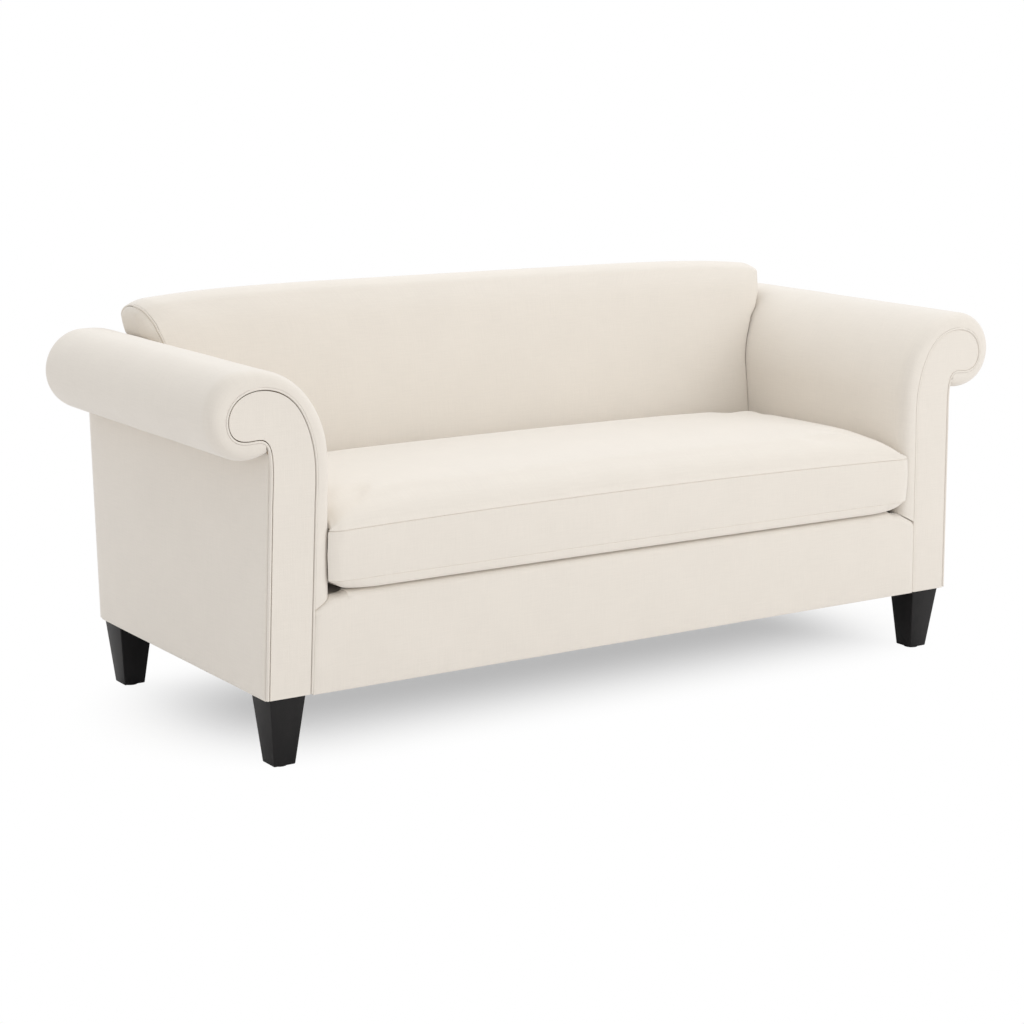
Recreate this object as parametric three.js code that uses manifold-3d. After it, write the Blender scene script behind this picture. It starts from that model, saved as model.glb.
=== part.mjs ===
// An english roll arm sofa: a tight curved back between two scroll arms, one loose bench
// cushion and four tapered square legs, with its wooden frame and springs inside.
// Millimetres, +Z up. It faces -Y and stands on z = 0, with the middle of its footprint
// at the origin. Depths are measured back from the plane of the arm facings.
import * as THREE from 'three';
import { mergeVertices } from 'three/addons/utils/BufferGeometryUtils.js';
import Module from 'manifold-3d';

const wasm = await Module();
wasm.setup();

// Overall sizes
const bodyWidth = 1920;          // across both arm facings, at their feet
const bodyDepth = 832;           // front facing to rear facing
const cushionOverhang = 12;      // how far the cushion stands in front of the rail
const glideHeight = 4;
const legHeight = 152;
const armHeight = 845;
const touchGap = 0.3;            // between pieces that meet
const cutOverrun = 5;            // how far a cutting tool passes the face it cuts

// Scroll arm
const armLeanIn = 15;            // the outer edge leans in by this much up to the notch
const armNeckWidth = 105;        // facing width under the scroll
const armFootWidth = 104;
const scrollRadius = 56;
const scrollOverhang = 50;       // scroll centre past the outer edge of the neck
const shoulderReach = 135;       // half axes of the curve from the scroll to the inside
const shoulderRise = 159;
const hookRadius = 28;           // the curl of the seam in the notch
const borderDepth = 36;          // padded border round the facing
const lipThickness = 3;          // the border's edge beside the seam
const seamGap = 2.8;             // half the width of the channel that holds the piping
const pipingRadius = 2.5;
const pipingTurns = [0, 1, 2, 3, 4, 5, 6, 7].map((i) => (i * Math.PI) / 4);
const facingThickness = 10;
const armFootDropInside = 8;     // the padded arm's lower edge under the rail's top, at the
const armFootDropSeam = 32;      // inside arm and at the facing's seam
const armRearLeanOut = 16;       // at the rear the outer edge leans out instead
const panelThickness = 8;
const panelProud = 1;            // outside arm past the facing's edge
const panelTopDrop = 4;          // its top edge under the notch, at the front and the rear
const panelRearDrop = 12;
const panelSteps = 8;
const armPadWidth = 156;         // outer foot of the arm to the inside arm
const edgeTurnShares = [0, 0.22, 0.45, 0.7, 1];
const rearRoundShare = 0.15;     // rounding left on the inner side of the arm's rear end

// Seat
const railTop = 369;
const railEdgeRadius = 18;
const railEdgeSteps = 4;
const railCoverThickness = 28.6;
const railCornerReach = 34;      // the rail's top curves down over this length at each end
const railCornerShares = [0, 0.35, 0.7, 1];
const deckRise = 2.7;            // deck above the rail
const deckThickness = 32;
const cushionLift = 0.3;
const cushionClearance = 0.5;    // cushion to each arm
const cushionBackGap = 2;        // cushion to the back
const cushionSeamHeight = 133;   // lower face to the upper seam
const cushionLowSeam = 22;
const cushionCrown = 60;
const cushionFrontRadius = 28;
const cushionFlare = 24;         // the front corners swell past the arms' inner faces
const cushionRearRadius = 22;
const cushionFlatInset = 80;      // rings of the lower face and of its rounded edge
const cushionUnderInset = 20;
const cushionTurnInset = 6;
const cushionSideBulge = 2;
const cushionDrawIn = 5;         // the long sides pull in between the corners
const cushionSeamRise = 12;      // the seam climbs this much towards the back
const cushionCrownEdge = 28;
const crownFrontShare = 0.05;    // of the depth over which the crown rises from the front
const crownRearLossShare = 0.30; // of the crown that is lost at the back edge
const crownRearPower = 8;
const cushionInsetShares = [0.04, 0.14, 0.32, 0.55, 0.78, 0.95];
const cushionCornerSteps = 5;
const cushionFaceShares = [0.17, 0.33, 0.5, 0.67, 0.83];
const cushionEdgeShares = [
  [0.04, 0.35, 0.68], cushionFaceShares, [0.32, 0.65, 0.96], cushionFaceShares,
];
const flarePower = 12;
const coverThickness = 7;
const coreGap = 0.8;
const zipEndGap = 200;           // end of the zip to the cushion's side
const zipWidth = 8;
const zipThickness = 2;

// Back. Its depths are measured forward from the rear of the arms, its heights from the
// foremost point of the rolled top.
const backLift = 0.7;            // its lowest edge above the deck
const backLowReach = 255;        // to the front of the back, at its lowest edge
const backHighReach = 220;       // and to the handle of its curve near the roll
const backLowHandle = 147;       // handles of the curve of its front, up from each end
const backHighHandle = 120;
const backRollDrop = 5;          // foremost point of the rolled top under the arms' top
const backRollReach = 188;
const backRollMiddleReach = 110;
const backRollRearReach = 32;
const backTuckReach = 49;        // where the rolled top meets the outside back
const backTuckDrop = 16;
const backRearRise = 25;
const backEndRise = 76;          // top of the back near its ends
const backArch = 15;             // how much higher the top is in the middle
const backArchInset = 68;
const backArchPower = 5;
const backEndInset = 42;         // end of the back to the outer foot of the arm
const backEndClearance = 3.2;    // back to the arm's shoulder
const backSideClearance = 1.5;   // back to the flat of the inside arm
const frontRoundInward = 96;     // rounding of the end, off the front face,
const frontRoundAcross = 150;
const topRoundInward = 50;       // off the top
const topRoundAcross = 48;
const rearRoundInward = 22;      // and off the rear
const rearRoundAcross = 26;
const seamTurn = THREE.MathUtils.degToRad(45);   // how far round the end its seam lies
const backFrameLowReach = 132;   // to the front of the back's frame, low and high
const backFrameHighReach = 142.5;
const backPadLift = 31;          // the padding's inner face over the frame
const backPadRearReach = 53;
const endFacingDrop = 90;
const endFacingEdge = 8;
const endFacingGap = 1.7;        // end facing to the back's own end
const endFacingClearance = 1;    // more room kept to the arm than the back has
const endPipingLift = 2.2;
const outsideBackTopReach = 44;
const outsideBackThickness = 8;

// Frame
const boardThickness = 18;
const railThickness = 25;
const sideRailHeight = 100;
const sideRailClearance = 4;
const postWidth = 56;
const postDepth = 45;
const postRise = 40;             // arm posts above the foot of the shoulder
const blockHeight = 46.6;
const blockDepth = 71;
const frameClearance = 2;        // frame above the underside of the covers
const backPostWidth = 45;
const backPostInset = 62;        // its inner face, in from the inside arm
const backPostLift = 19;         // above the underside
const backTopRailHeight = 36;
const backTopRailInset = 78;     // its end to the end of the back
const backTopRailDepth = 66;
const backLowRailHeight = 40;
const backLowRailInset = 14;     // its end to the inside arm
const stretcherWidth = 50;
const stretcherHeight = 50;
const stretcherLift = 44;
const armRailHalfWidth = 46;
const armRailHalfHeight = 42;
const armRailSides = 12;
const dustCoverThickness = 1.4;

// Springs
const springCount = 8;
const springRoom = 14.7;         // between the wooden frame and the deck
const springWire = 1.9;         // half the wire's thickness
const springSwing = 20;
const springBends = 18;
const springArch = 8;
const springSetBack = 12;
const tieWire = 1.6;
const wireSides = 4;
const tieShares = [0.33, 0.67];

// Legs
const legTopWidth = 84;
const legFootWidth = 51;
const legInset = 10;
const boltRadius = 4;
const boltHole = 4.4;
const boltInLeg = 36;
const boltInBlock = 40;
const glideRadius = 18;
const glideEdge = 1;
const glideNailRadius = 1.6;
const glideNailLength = 14;
const roundSides = 16;

// Places worked out from the sizes
const frontY = -(bodyDepth - cushionOverhang - cushionSideBulge) / 2;
const rearY = frontY + bodyDepth;
const underside = glideHeight + legHeight;
const frameFoot = underside + frameClearance;
const outerFootX = bodyWidth / 2;
const outerNeckX = outerFootX - armLeanIn;
const innerFootX = outerFootX - armFootWidth;
const innerNeckX = outerNeckX - armNeckWidth;
const scrollX = outerNeckX + scrollOverhang;
const scrollTop = armHeight - borderDepth;
const scrollZ = scrollTop - scrollRadius;
const shoulderX = innerNeckX + shoulderReach;
const shoulderZ = scrollTop - shoulderRise;
const hookX = outerNeckX + hookRadius;
const hookZ = scrollZ - Math.sqrt((scrollRadius + hookRadius) ** 2 - (scrollX - hookX) ** 2);
const joinAngle = Math.atan2(scrollZ - hookZ, scrollX - hookX);
const insideArmHalf = outerFootX - armPadWidth;
const armFootInside = railTop - armFootDropInside;
const armFootSeam = railTop - armFootDropSeam;
const hookStartAngle = THREE.MathUtils.degToRad(160);
const rollStartAngle = THREE.MathUtils.degToRad(-118.5);
const boardFront = facingThickness + 2 * touchGap;
const boardBack = boardFront + boardThickness;
const deckTop = railTop + deckRise;
const frameTop = deckTop - deckThickness - springRoom;
const rearRailBack = bodyDepth - boardFront - boardThickness - touchGap;
const rearRailFront = rearRailBack - railThickness;
const backPostBack = rearRailFront - touchGap;
const backPostFront = backPostBack - postDepth;
const panelInset = panelThickness - panelProud;
const sideRailOuter = outerFootX - panelInset - sideRailClearance;
const sideRailInner = sideRailOuter - railThickness;
const blockOuter = sideRailInner - touchGap;
const blockInner = blockOuter - postWidth - cutOverrun;
const postTop = shoulderZ + postRise;
const springSpacing = (2 * insideArmHalf) / springCount;
const backEndHalf = outerFootX - backEndInset;
const backArchReach = backEndHalf - backArchInset;
const frontRound = { inward: frontRoundInward, across: frontRoundAcross };
const topRound = { inward: topRoundInward, across: topRoundAcross };
const rearRound = { inward: rearRoundInward, across: rearRoundAcross };
const backLowEdge = deckTop + backLift;
const backRollHeight = armHeight - backRollDrop;
const backEndHeight = backRollHeight + backEndRise;
const backRearHeight = backRollHeight + backRearRise;
const backTuckHeight = backRollHeight - backTuckDrop;
const backPadRise = backRollHeight + backPadLift;
const backPostTop = backPadRise - backTopRailHeight - 2 * touchGap;
const endFacingLow = backRollHeight - endFacingDrop;
const backSeatDepth = bodyDepth - backLowReach;
const backHighDepth = bodyDepth - backHighReach;
const backRollFront = bodyDepth - backRollReach;
const backRollMiddle = bodyDepth - backRollMiddleReach;
const backRollRear = bodyDepth - backRollRearReach;
const backTuckDepth = bodyDepth - backTuckReach;
const backFrameFaceLow = bodyDepth - backFrameLowReach;
const backFrameFaceHigh = bodyDepth - backFrameHighReach;
const backPadRear = bodyDepth - backPadRearReach;
const outsideBackTopDepth = bodyDepth - outsideBackTopReach;
const cushionRear = backSeatDepth - cushionBackGap;
const cushionBase = deckTop + cushionLift;
const cushionHalf = insideArmHalf - cushionClearance - cushionSideBulge;

const fabric = new THREE.Color(0.87, 0.84, 0.78);
const fabricMaterial = () => new THREE.MeshStandardMaterial({ color: fabric, roughness: 0.92 });
const woodMaterial = () => new THREE.MeshStandardMaterial({ color: 0xb88a58, roughness: 0.75 });
const blackWoodMaterial = () => new THREE.MeshStandardMaterial({ color: 0x1d1b1b, roughness: 0.42 });
const glideMaterial = () => new THREE.MeshStandardMaterial({ color: 0x161616, roughness: 0.5 });
const steelMaterial = () => new THREE.MeshStandardMaterial({
  color: 0x9a9c9f, roughness: 0.35, metalness: 1,
});
const foamMaterial = () => new THREE.MeshStandardMaterial({ color: 0xe9dfb8, roughness: 0.95 });
const dustMaterial = () => new THREE.MeshStandardMaterial({ color: 0x2b2b2d, roughness: 0.95 });
const tapeMaterial = () => new THREE.MeshStandardMaterial({ color: 0xd6cfc0, roughness: 0.8 });

const sofa = new THREE.Group();

function add(name, geometry, material) {
  const mesh = new THREE.Mesh(geometry, material);
  mesh.name = name;
  sofa.add(mesh);
  return mesh;
}

// A closed mesh whose faces point out
function outward(geometry) {
  const bare = geometry.clone();
  bare.deleteAttribute('normal');
  bare.deleteAttribute('uv');
  const merged = mergeVertices(bare);
  const p = merged.getAttribute('position');
  const index = merged.getIndex();
  const corner = (i) => new THREE.Vector3().fromBufferAttribute(p, index.getX(i));
  let volume = 0;
  for (let i = 0; i < index.count; i += 3) {
    volume += corner(i).dot(corner(i + 1).cross(corner(i + 2)));
  }
  if (volume < 0) {
    for (let i = 0; i < index.count; i += 3) {
      const kept = index.getX(i);
      index.setX(i, index.getX(i + 1));
      index.setX(i + 1, kept);
    }
  }
  return merged;
}

function toSolid(geometry) {
  const merged = outward(geometry);
  return new wasm.Manifold(new wasm.Mesh({
    numProp: 3,
    vertProperties: new Float32Array(merged.getAttribute('position').array),
    triVerts: new Uint32Array(merged.getIndex().array),
  }));
}

function fromSolid(solid) {
  const mesh = solid.getMesh();
  const geometry = new THREE.BufferGeometry();
  geometry.setAttribute('position', new THREE.BufferAttribute(new Float32Array(mesh.vertProperties), 3));
  geometry.setIndex(new THREE.BufferAttribute(new Uint32Array(mesh.triVerts), 1));
  return geometry;
}

// Rings of equal count joined into one skin. Each end is closed with the faces cap gives.
function loft(rings, cap) {
  const count = rings[0].length;
  const positions = rings.flatMap((ring) => ring.flatMap((v) => [v.x, v.y, v.z]));
  const faces = [];
  for (let r = 0; r + 1 < rings.length; r += 1) {
    for (let i = 0; i < count; i += 1) {
      const a = r * count + i;
      const b = r * count + (i + 1) % count;
      faces.push(a, b, a + count, b, b + count, a + count);
    }
  }
  const last = (rings.length - 1) * count;
  for (const [a, b, c] of cap(rings[0])) {
    faces.push(c, b, a);
  }
  for (const [a, b, c] of cap(rings[rings.length - 1])) {
    faces.push(last + a, last + b, last + c);
  }
  const geometry = new THREE.BufferGeometry();
  geometry.setAttribute('position', new THREE.BufferAttribute(new Float32Array(positions), 3));
  geometry.setIndex(faces);
  return geometry;
}

// Faces over a flat ring, seen along one axis
function flatCap(flatten) {
  return (ring) => {
    const flat = ring.map(flatten);
    const faces = THREE.ShapeUtils.triangulateShape(flat, []);
    const turned = THREE.ShapeUtils.area(flat) * THREE.ShapeUtils.area(faces[0].map((i) => flat[i])) < 0;
    return turned ? faces.map(([a, b, c]) => [c, b, a]) : faces;
  };
}

const capAlongX = flatCap((v) => new THREE.Vector2(v.y, v.z));
const capAlongY = flatCap((v) => new THREE.Vector2(v.x, v.z));
const capAlongZ = flatCap((v) => new THREE.Vector2(v.x, v.y));

// Faces over the ring of a band, whose second half runs back beside its first half
function bandCap(ring) {
  const last = ring.length - 1;
  const faces = [];
  for (let i = 0; i < (last - 1) / 2; i += 1) {
    faces.push([i, i + 1, last - i], [i + 1, last - i - 1, last - i]);
  }
  return faces;
}

// A block between two corners, with depths measured from the front
function block(x0, x1, depth0, depth1, z0, z1) {
  const geometry = new THREE.BoxGeometry(x1 - x0, depth1 - depth0, z1 - z0);
  geometry.translate((x0 + x1) / 2, frontY + (depth0 + depth1) / 2, (z0 + z1) / 2);
  return geometry;
}

// An outline in the XZ plane, made thick between two depths
function plate(outline, depth0, depth1) {
  const shape = new THREE.Shape(outline.map((p) => new THREE.Vector2(p.x, p.y)));
  const depth = depth1 - depth0;
  const geometry = new THREE.ExtrudeGeometry(shape, { depth, bevelEnabled: false });
  geometry.rotateX(Math.PI / 2);
  geometry.translate(0, frontY + depth1, 0);
  return outward(geometry);
}

const smooth = (points) => new THREE.CatmullRomCurve3(points, false, 'centripetal');

function polyline(points) {
  const path = new THREE.CurvePath();
  points.slice(1).forEach((p, i) => path.add(new THREE.LineCurve3(points[i], p)));
  return path;
}

// A tube of even radius along a curve
function tube(path, radius, sides, steps) {
  const section = new THREE.Shape();
  for (let i = 0; i < sides; i += 1) {
    const angle = (i / sides) * 2 * Math.PI;
    const at = [radius * Math.cos(angle), radius * Math.sin(angle)];
    if (i === 0) section.moveTo(...at);
    else section.lineTo(...at);
  }
  const settings = { steps, bevelEnabled: false, extrudePath: path };
  return outward(new THREE.ExtrudeGeometry(section, settings));
}

const mirrored = (side) => (p) => new THREE.Vector2(side * p.x, p.y);

// Points of an arc, both ends included
function arc(x, z, radius, from, to, steps) {
  return Array.from({ length: steps + 1 }, (_, i) => {
    const angle = from + ((to - from) * i) / steps;
    return new THREE.Vector2(x + radius * Math.cos(angle), z + radius * Math.sin(angle));
  });
}

// The parts of the scroll outline, pushed out square to the seam line by an offset
const hookSteps = 4;
const scrollSteps = 13;
const shoulderSteps = 12;
const straightSteps = 3;

function hookArc(offset) {
  return arc(hookX, hookZ, hookRadius - offset, hookStartAngle, joinAngle, hookSteps);
}

function wholeHook(offset) {
  return [new THREE.Vector2(hookX - hookRadius + offset, hookZ), ...hookArc(offset)];
}

function scrollArc(offset, from) {
  return arc(scrollX, scrollZ, scrollRadius + offset, from, Math.PI / 2, scrollSteps).slice(1);
}

function shoulderArc(offset) {
  return Array.from({ length: shoulderSteps + 1 }, (_, i) => {
    const angle = Math.PI / 2 + ((Math.PI / 2) * i) / shoulderSteps;
    const out = new THREE.Vector2(Math.cos(angle) / shoulderReach, Math.sin(angle) / shoulderRise);
    out.normalize().multiplyScalar(offset);
    return new THREE.Vector2(
      shoulderX + shoulderReach * Math.cos(angle) + out.x,
      shoulderZ + shoulderRise * Math.sin(angle) + out.y,
    );
  });
}

const shareUp = (z) => (z - underside) / (shoulderZ - underside);
const innerLineX = (z) => innerFootX + (innerNeckX - innerFootX) * shareUp(z);
const shareToHook = (z) => (z - underside) / (hookZ - underside);
const outerLineX = (z) => outerFootX - armLeanIn * shareToHook(z);
const rearLineX = (z) => outerFootX + armRearLeanOut * shareToHook(z);
const frontOuterEdge = { line: outerLineX, top: hookZ - panelTopDrop };
const rearOuterEdge = { line: rearLineX, top: hookZ - panelRearDrop };

// The closed scroll outline of a facing or board, with its outer edge inset by itself
function scrollOutline(edge, offset, outerInset, foot) {
  return [
    new THREE.Vector2(innerLineX(foot) - offset, foot),
    new THREE.Vector2(edge.line(foot) - outerInset, foot),
    new THREE.Vector2(edge.line(edge.top) - outerInset, edge.top),
    ...wholeHook(offset),
    ...scrollArc(offset, joinAngle - Math.PI),
    ...shoulderArc(offset),
  ];
}

// The padded arm: inside arm, shoulder and roll in one skin, rounded round the facing
const joinTurn = joinAngle - Math.PI;

function insideLine(inner, foot) {
  return Array.from({ length: straightSteps }, (_, i) => {
    const z = shoulderZ + ((foot - shoulderZ) * (i + 1)) / straightSteps;
    return new THREE.Vector2(inner(z), z);
  });
}

function armFootAt(x) {
  const across = (x - insideArmHalf) / (innerLineX(armFootSeam) - insideArmHalf);
  return armFootInside + (armFootSeam - armFootInside) * across;
}

const shoulderStart = hookSteps + 1 + scrollSteps;
const rimCount = shoulderStart + shoulderSteps + 1 + straightSteps;
const roundShares = Array.from({ length: rimCount }, (_, i) => {
  const t = THREE.MathUtils.clamp((i - shoulderStart) / shoulderSteps, 0, 1);
  return 1 - (1 - rearRoundShare) * Math.sin((Math.PI / 2) * t);
});
const fullRim = [
  ...arc(scrollX, scrollZ, scrollRadius + borderDepth, rollStartAngle, joinTurn, hookSteps),
  ...scrollArc(borderDepth, joinTurn),
  ...shoulderArc(borderDepth),
  ...insideLine(() => insideArmHalf, armFootInside),
];
const lipOffset = seamGap + lipThickness;
const lipRim = [
  ...hookArc(lipOffset),
  ...scrollArc(lipOffset, joinTurn),
  ...shoulderArc(lipOffset),
  ...insideLine((z) => innerLineX(z) - lipOffset, armFootAt(innerLineX(armFootSeam) - lipOffset)),
];
const innerRim = [
  ...hookArc(seamGap),
  ...scrollArc(seamGap, joinTurn),
  ...shoulderArc(seamGap),
  ...insideLine((z) => innerLineX(z) - seamGap, armFootAt(innerLineX(armFootSeam) - seamGap)),
];

function armRing(side, y, open, shares) {
  const rim = fullRim.map((full, i) => {
    const grown = shares ? 1 - shares[i] * (1 - open) : open;
    return lipRim[i].clone().lerp(full, grown);
  });
  const ring = [...rim, ...innerRim.slice().reverse()];
  return ring.map((p) => new THREE.Vector3(side * p.x, y, p.y));
}

function armCover(side) {
  const turns = edgeTurnShares.map((t) => (t * Math.PI) / 2);
  const rings = turns.map((t) => armRing(side, frontY + borderDepth * (1 - Math.cos(t)), Math.sin(t)));
  for (const t of turns.slice().reverse()) {
    rings.push(armRing(side, rearY - borderDepth * (1 - Math.cos(t)), Math.sin(t), roundShares));
  }
  return outward(loft(rings, bandCap));
}

// Where the arm's shoulder is, at a height
function insideArmX(z) {
  const flank = fullRim.slice(shoulderStart);
  if (z >= flank[0].y) return flank[0].x;
  for (let i = 0; i + 1 < flank.length; i += 1) {
    const [high, low] = [flank[i], flank[i + 1]];
    if (z >= low.y) return low.x + ((high.x - low.x) * (z - low.y)) / (high.y - low.y);
  }
  return insideArmHalf;
}

// The whole seam from the outer foot over the scroll to the inner foot
function seamLine(offset) {
  const foot = underside + pipingRadius;
  const middle = (foot + shoulderZ) / 2;
  return [
    new THREE.Vector2(outerLineX(foot) + offset, foot),
    new THREE.Vector2(outerLineX(middle) + offset, middle),
    ...wholeHook(offset),
    ...scrollArc(offset, joinTurn),
    ...shoulderArc(offset),
    new THREE.Vector2(innerLineX(middle) - offset, middle),
    new THREE.Vector2(innerLineX(foot) - offset, foot),
  ];
}

function piping(side) {
  const lines = pipingTurns.map((angle) => {
    const y = frontY + pipingRadius / 2 + pipingRadius * Math.sin(angle);
    return seamLine(pipingRadius * Math.cos(angle)).map((p) => new THREE.Vector3(side * p.x, y, p.y));
  });
  const rings = lines[0].map((_, k) => lines.map((line) => line[k]));
  return outward(loft(rings, capAlongZ));
}

// The outside arm twists from the front board's edge to the rear board's
function outsidePanel(side) {
  const shares = Array.from({ length: panelSteps + 1 }, (_, i) => i / panelSteps);
  const stations = [
    [boardFront, 0],
    ...shares.map((share) => [THREE.MathUtils.lerp(boardBack, bodyDepth - boardBack, share), share]),
    [bodyDepth - boardFront, 1],
  ];
  const rings = stations.map(([depth, share]) => {
    const high = THREE.MathUtils.lerp(frontOuterEdge.top, rearOuterEdge.top, share) - touchGap;
    const edge = (z) => THREE.MathUtils.lerp(outerLineX(z), rearLineX(z), share);
    return [
      [edge(underside) - panelInset, underside], [edge(underside) + panelProud, underside],
      [edge(high) + panelProud, high], [edge(high) - panelInset, high],
    ].map(([x, z]) => new THREE.Vector3(side * x, frontY + depth, z));
  });
  return outward(loft(rings, capAlongY));
}

function addArm(side, end) {
  add(`arm_cover_${end}`, armCover(side), fabricMaterial());
  add(`arm_front_piping_${end}`, piping(side), fabricMaterial());
  add(`outside_arm_panel_${end}`, outsidePanel(side), fabricMaterial());
  const ends = [
    ['front', frontOuterEdge, [0, facingThickness], [boardFront, boardBack]],
    ['rear', rearOuterEdge, [bodyDepth - facingThickness, bodyDepth],
      [bodyDepth - boardBack, bodyDepth - boardFront]],
  ];
  const flip = mirrored(side);
  for (const [place, edge, facingDepths, boardDepths] of ends) {
    const facing = scrollOutline(edge, -seamGap, seamGap, underside + touchGap);
    const board = scrollOutline(edge, seamGap - touchGap, panelInset + touchGap, frameFoot);
    add(`arm_${place}_facing_${end}`, plate(facing.map(flip), ...facingDepths), fabricMaterial());
    add(`arm_${place}_board_${end}`, plate(board.map(flip), ...boardDepths), woodMaterial());
  }
  const rail = Array.from({ length: armRailSides }, (_, i) => {
    const angle = (i / armRailSides) * 2 * Math.PI;
    return new THREE.Vector2(
      side * (scrollX + armRailHalfWidth * Math.cos(angle)),
      scrollZ + armRailHalfHeight * Math.sin(angle),
    );
  });
  const railEnds = [boardBack + touchGap, bodyDepth - boardBack - touchGap];
  add(`arm_top_rail_${end}`, plate(rail, ...railEnds), woodMaterial());
}

// Wooden seat and arm frame
function sideBlock(side, x0, x1, ...rest) {
  return side > 0 ? block(x0, x1, ...rest) : block(-x1, -x0, ...rest);
}

function addSeatFrame() {
  const railHalf = blockInner - touchGap;
  const railFront = boardBack + touchGap;
  const frontDepths = [railFront, railFront + railThickness];
  add('front_seat_rail', block(-railHalf, railHalf, ...frontDepths, frameFoot, frameTop),
    woodMaterial());
  add('rear_seat_rail', block(-railHalf, railHalf, rearRailFront, rearRailBack, frameFoot, frameTop),
    woodMaterial());
  const half = stretcherWidth / 2;
  const stretcherFoot = underside + stretcherLift;
  const stretcherEnds = [railFront + railThickness + touchGap, backPostFront - touchGap];
  add('centre_stretcher',
    block(-half, half, ...stretcherEnds, stretcherFoot, stretcherFoot + stretcherHeight), woodMaterial());
}

function addSideFrame(side, end) {
  const front = boardBack + touchGap;
  const rear = rearRailBack;
  const sideTop = frameFoot + sideRailHeight;
  add(`side_rail_${end}`, sideBlock(side, sideRailInner, sideRailOuter, front, rear, frameFoot, sideTop),
    woodMaterial());
  const postInner = blockOuter - postWidth;
  const postFoot = underside + touchGap + blockHeight + touchGap;
  add(`arm_front_post_${end}`,
    sideBlock(side, postInner, blockOuter, front, front + postDepth, postFoot, postTop), woodMaterial());
  add(`arm_rear_post_${end}`,
    sideBlock(side, postInner, blockOuter, rear - postDepth, rear, postFoot, postTop), woodMaterial());
  const backIn = insideArmHalf - backPostInset;
  add(`back_post_${end}`, sideBlock(side, backIn, backIn + backPostWidth, backPostFront,
    backPostBack, underside + backPostLift, backPostTop), woodMaterial());
}

// Legs with their bolts, blocks and glides
const legCentreX = outerFootX - legInset - legTopWidth / 2;
const legFrontDepth = legInset + legTopWidth / 2;
const legRearDepth = bodyDepth - legInset - legTopWidth / 2;

function pegHole(x, depth, radius, low, high) {
  const hole = new THREE.CylinderGeometry(radius, radius, high - low, roundSides);
  hole.rotateX(Math.PI / 2);
  hole.translate(x, frontY + depth, (low + high) / 2);
  return toSolid(hole);
}

function taperedLeg(x, depth) {
  const square = (half, z) => [[-1, -1], [1, -1], [1, 1], [-1, 1]].map(
    ([sx, sy]) => new THREE.Vector3(x + sx * half, frontY + depth + sy * half, z),
  );
  const ends = [square(legFootWidth / 2, glideHeight), square(legTopWidth / 2, underside)];
  const body = loft(ends, capAlongZ);
  const boltEnds = [underside - boltInLeg - frameClearance, underside + cutOverrun];
  const boltCut = pegHole(x, depth, boltHole, ...boltEnds);
  const nailHole = glideNailRadius + touchGap;
  const nailTop = glideHeight + glideNailLength + frameClearance;
  const nailCut = pegHole(x, depth, nailHole, -cutOverrun, nailTop);
  return fromSolid(toSolid(body).subtract(boltCut).subtract(nailCut));
}

function glide(x, depth) {
  const profile = [
    [0, 0], [glideRadius - glideEdge, 0], [glideRadius, glideEdge],
    [glideRadius, glideHeight - touchGap], [glideNailRadius, glideHeight - touchGap],
    [glideNailRadius, glideHeight + glideNailLength - glideNailRadius],
    [0, glideHeight + glideNailLength],
  ].map(([r, z]) => new THREE.Vector2(r, z));
  const geometry = new THREE.LatheGeometry(profile, roundSides);
  geometry.rotateX(Math.PI / 2);
  geometry.translate(x, frontY + depth, 0);
  return outward(geometry);
}

function bolt(x, depth) {
  const low = underside - boltInLeg;
  const high = underside + touchGap + boltInBlock;
  const geometry = new THREE.CylinderGeometry(boltRadius, boltRadius, high - low, roundSides);
  geometry.rotateX(Math.PI / 2);
  geometry.translate(x, frontY + depth, (low + high) / 2);
  return outward(geometry);
}

function cornerBlock(side, x, depth, depth0, depth1) {
  const low = underside + touchGap;
  const wood = sideBlock(side, blockInner, blockOuter, depth0, depth1, low, low + blockHeight);
  const hole = pegHole(x, depth, boltHole, low - cutOverrun, low + blockHeight + cutOverrun);
  return fromSolid(toSolid(wood).subtract(hole));
}

function addLeg(side, depth, end) {
  const x = side * legCentreX;
  const front = depth < bodyDepth / 2;
  const depth0 = front ? boardBack + touchGap : rearRailBack - blockDepth;
  add(`leg_${end}`, taperedLeg(x, depth), blackWoodMaterial());
  add(`glide_${end}`, glide(x, depth), glideMaterial());
  add(`leg_bolt_${end}`, bolt(x, depth), steelMaterial());
  add(`corner_block_${end}`, cornerBlock(side, x, depth, depth0, depth0 + blockDepth), woodMaterial());
}

// Zigzag seat springs, tied to each other by cross wires
function addSprings() {
  const start = boardBack + touchGap + springSetBack;
  const end = rearRailBack - springSetBack;
  const rest = frameTop + touchGap + springWire;
  const half = (springCount - 1) / 2;
  const height = (t) => rest + springArch * Math.sin(Math.PI * t);
  let unit = null;
  for (let n = 0; n < springCount; n += 1) {
    const x = (n - half) * springSpacing;
    const points = Array.from({ length: 2 * springBends + 1 }, (_, i) => {
      const t = i / (2 * springBends);
      const swing = i % 2 === 0 ? 0 : springSwing * (i % 4 === 1 ? 1 : -1);
      return new THREE.Vector3(x + swing, frontY + start + (end - start) * t, height(t));
    });
    const wire = toSolid(tube(smooth(points), springWire, wireSides, 2 * springBends));
    unit = unit ? unit.add(wire) : wire;
  }
  for (const t of tieShares) {
    const y = frontY + start + (end - start) * t;
    const reach = half * springSpacing + springSwing;
    const points = [-reach, 0, reach].map((x) => new THREE.Vector3(x, y, height(t)));
    unit = unit.add(toSolid(tube(polyline(points), tieWire, wireSides, 2)));
  }
  add('seat_spring_unit', fromSolid(unit), steelMaterial());
}

// Padded platform over the springs
function addDeck() {
  const half = insideArmHalf - 2 * touchGap;
  const front = railCoverThickness + touchGap;
  add('seat_deck', block(-half, half, front, backPostFront - touchGap, deckTop - deckThickness, deckTop),
    fabricMaterial());
}

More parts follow.
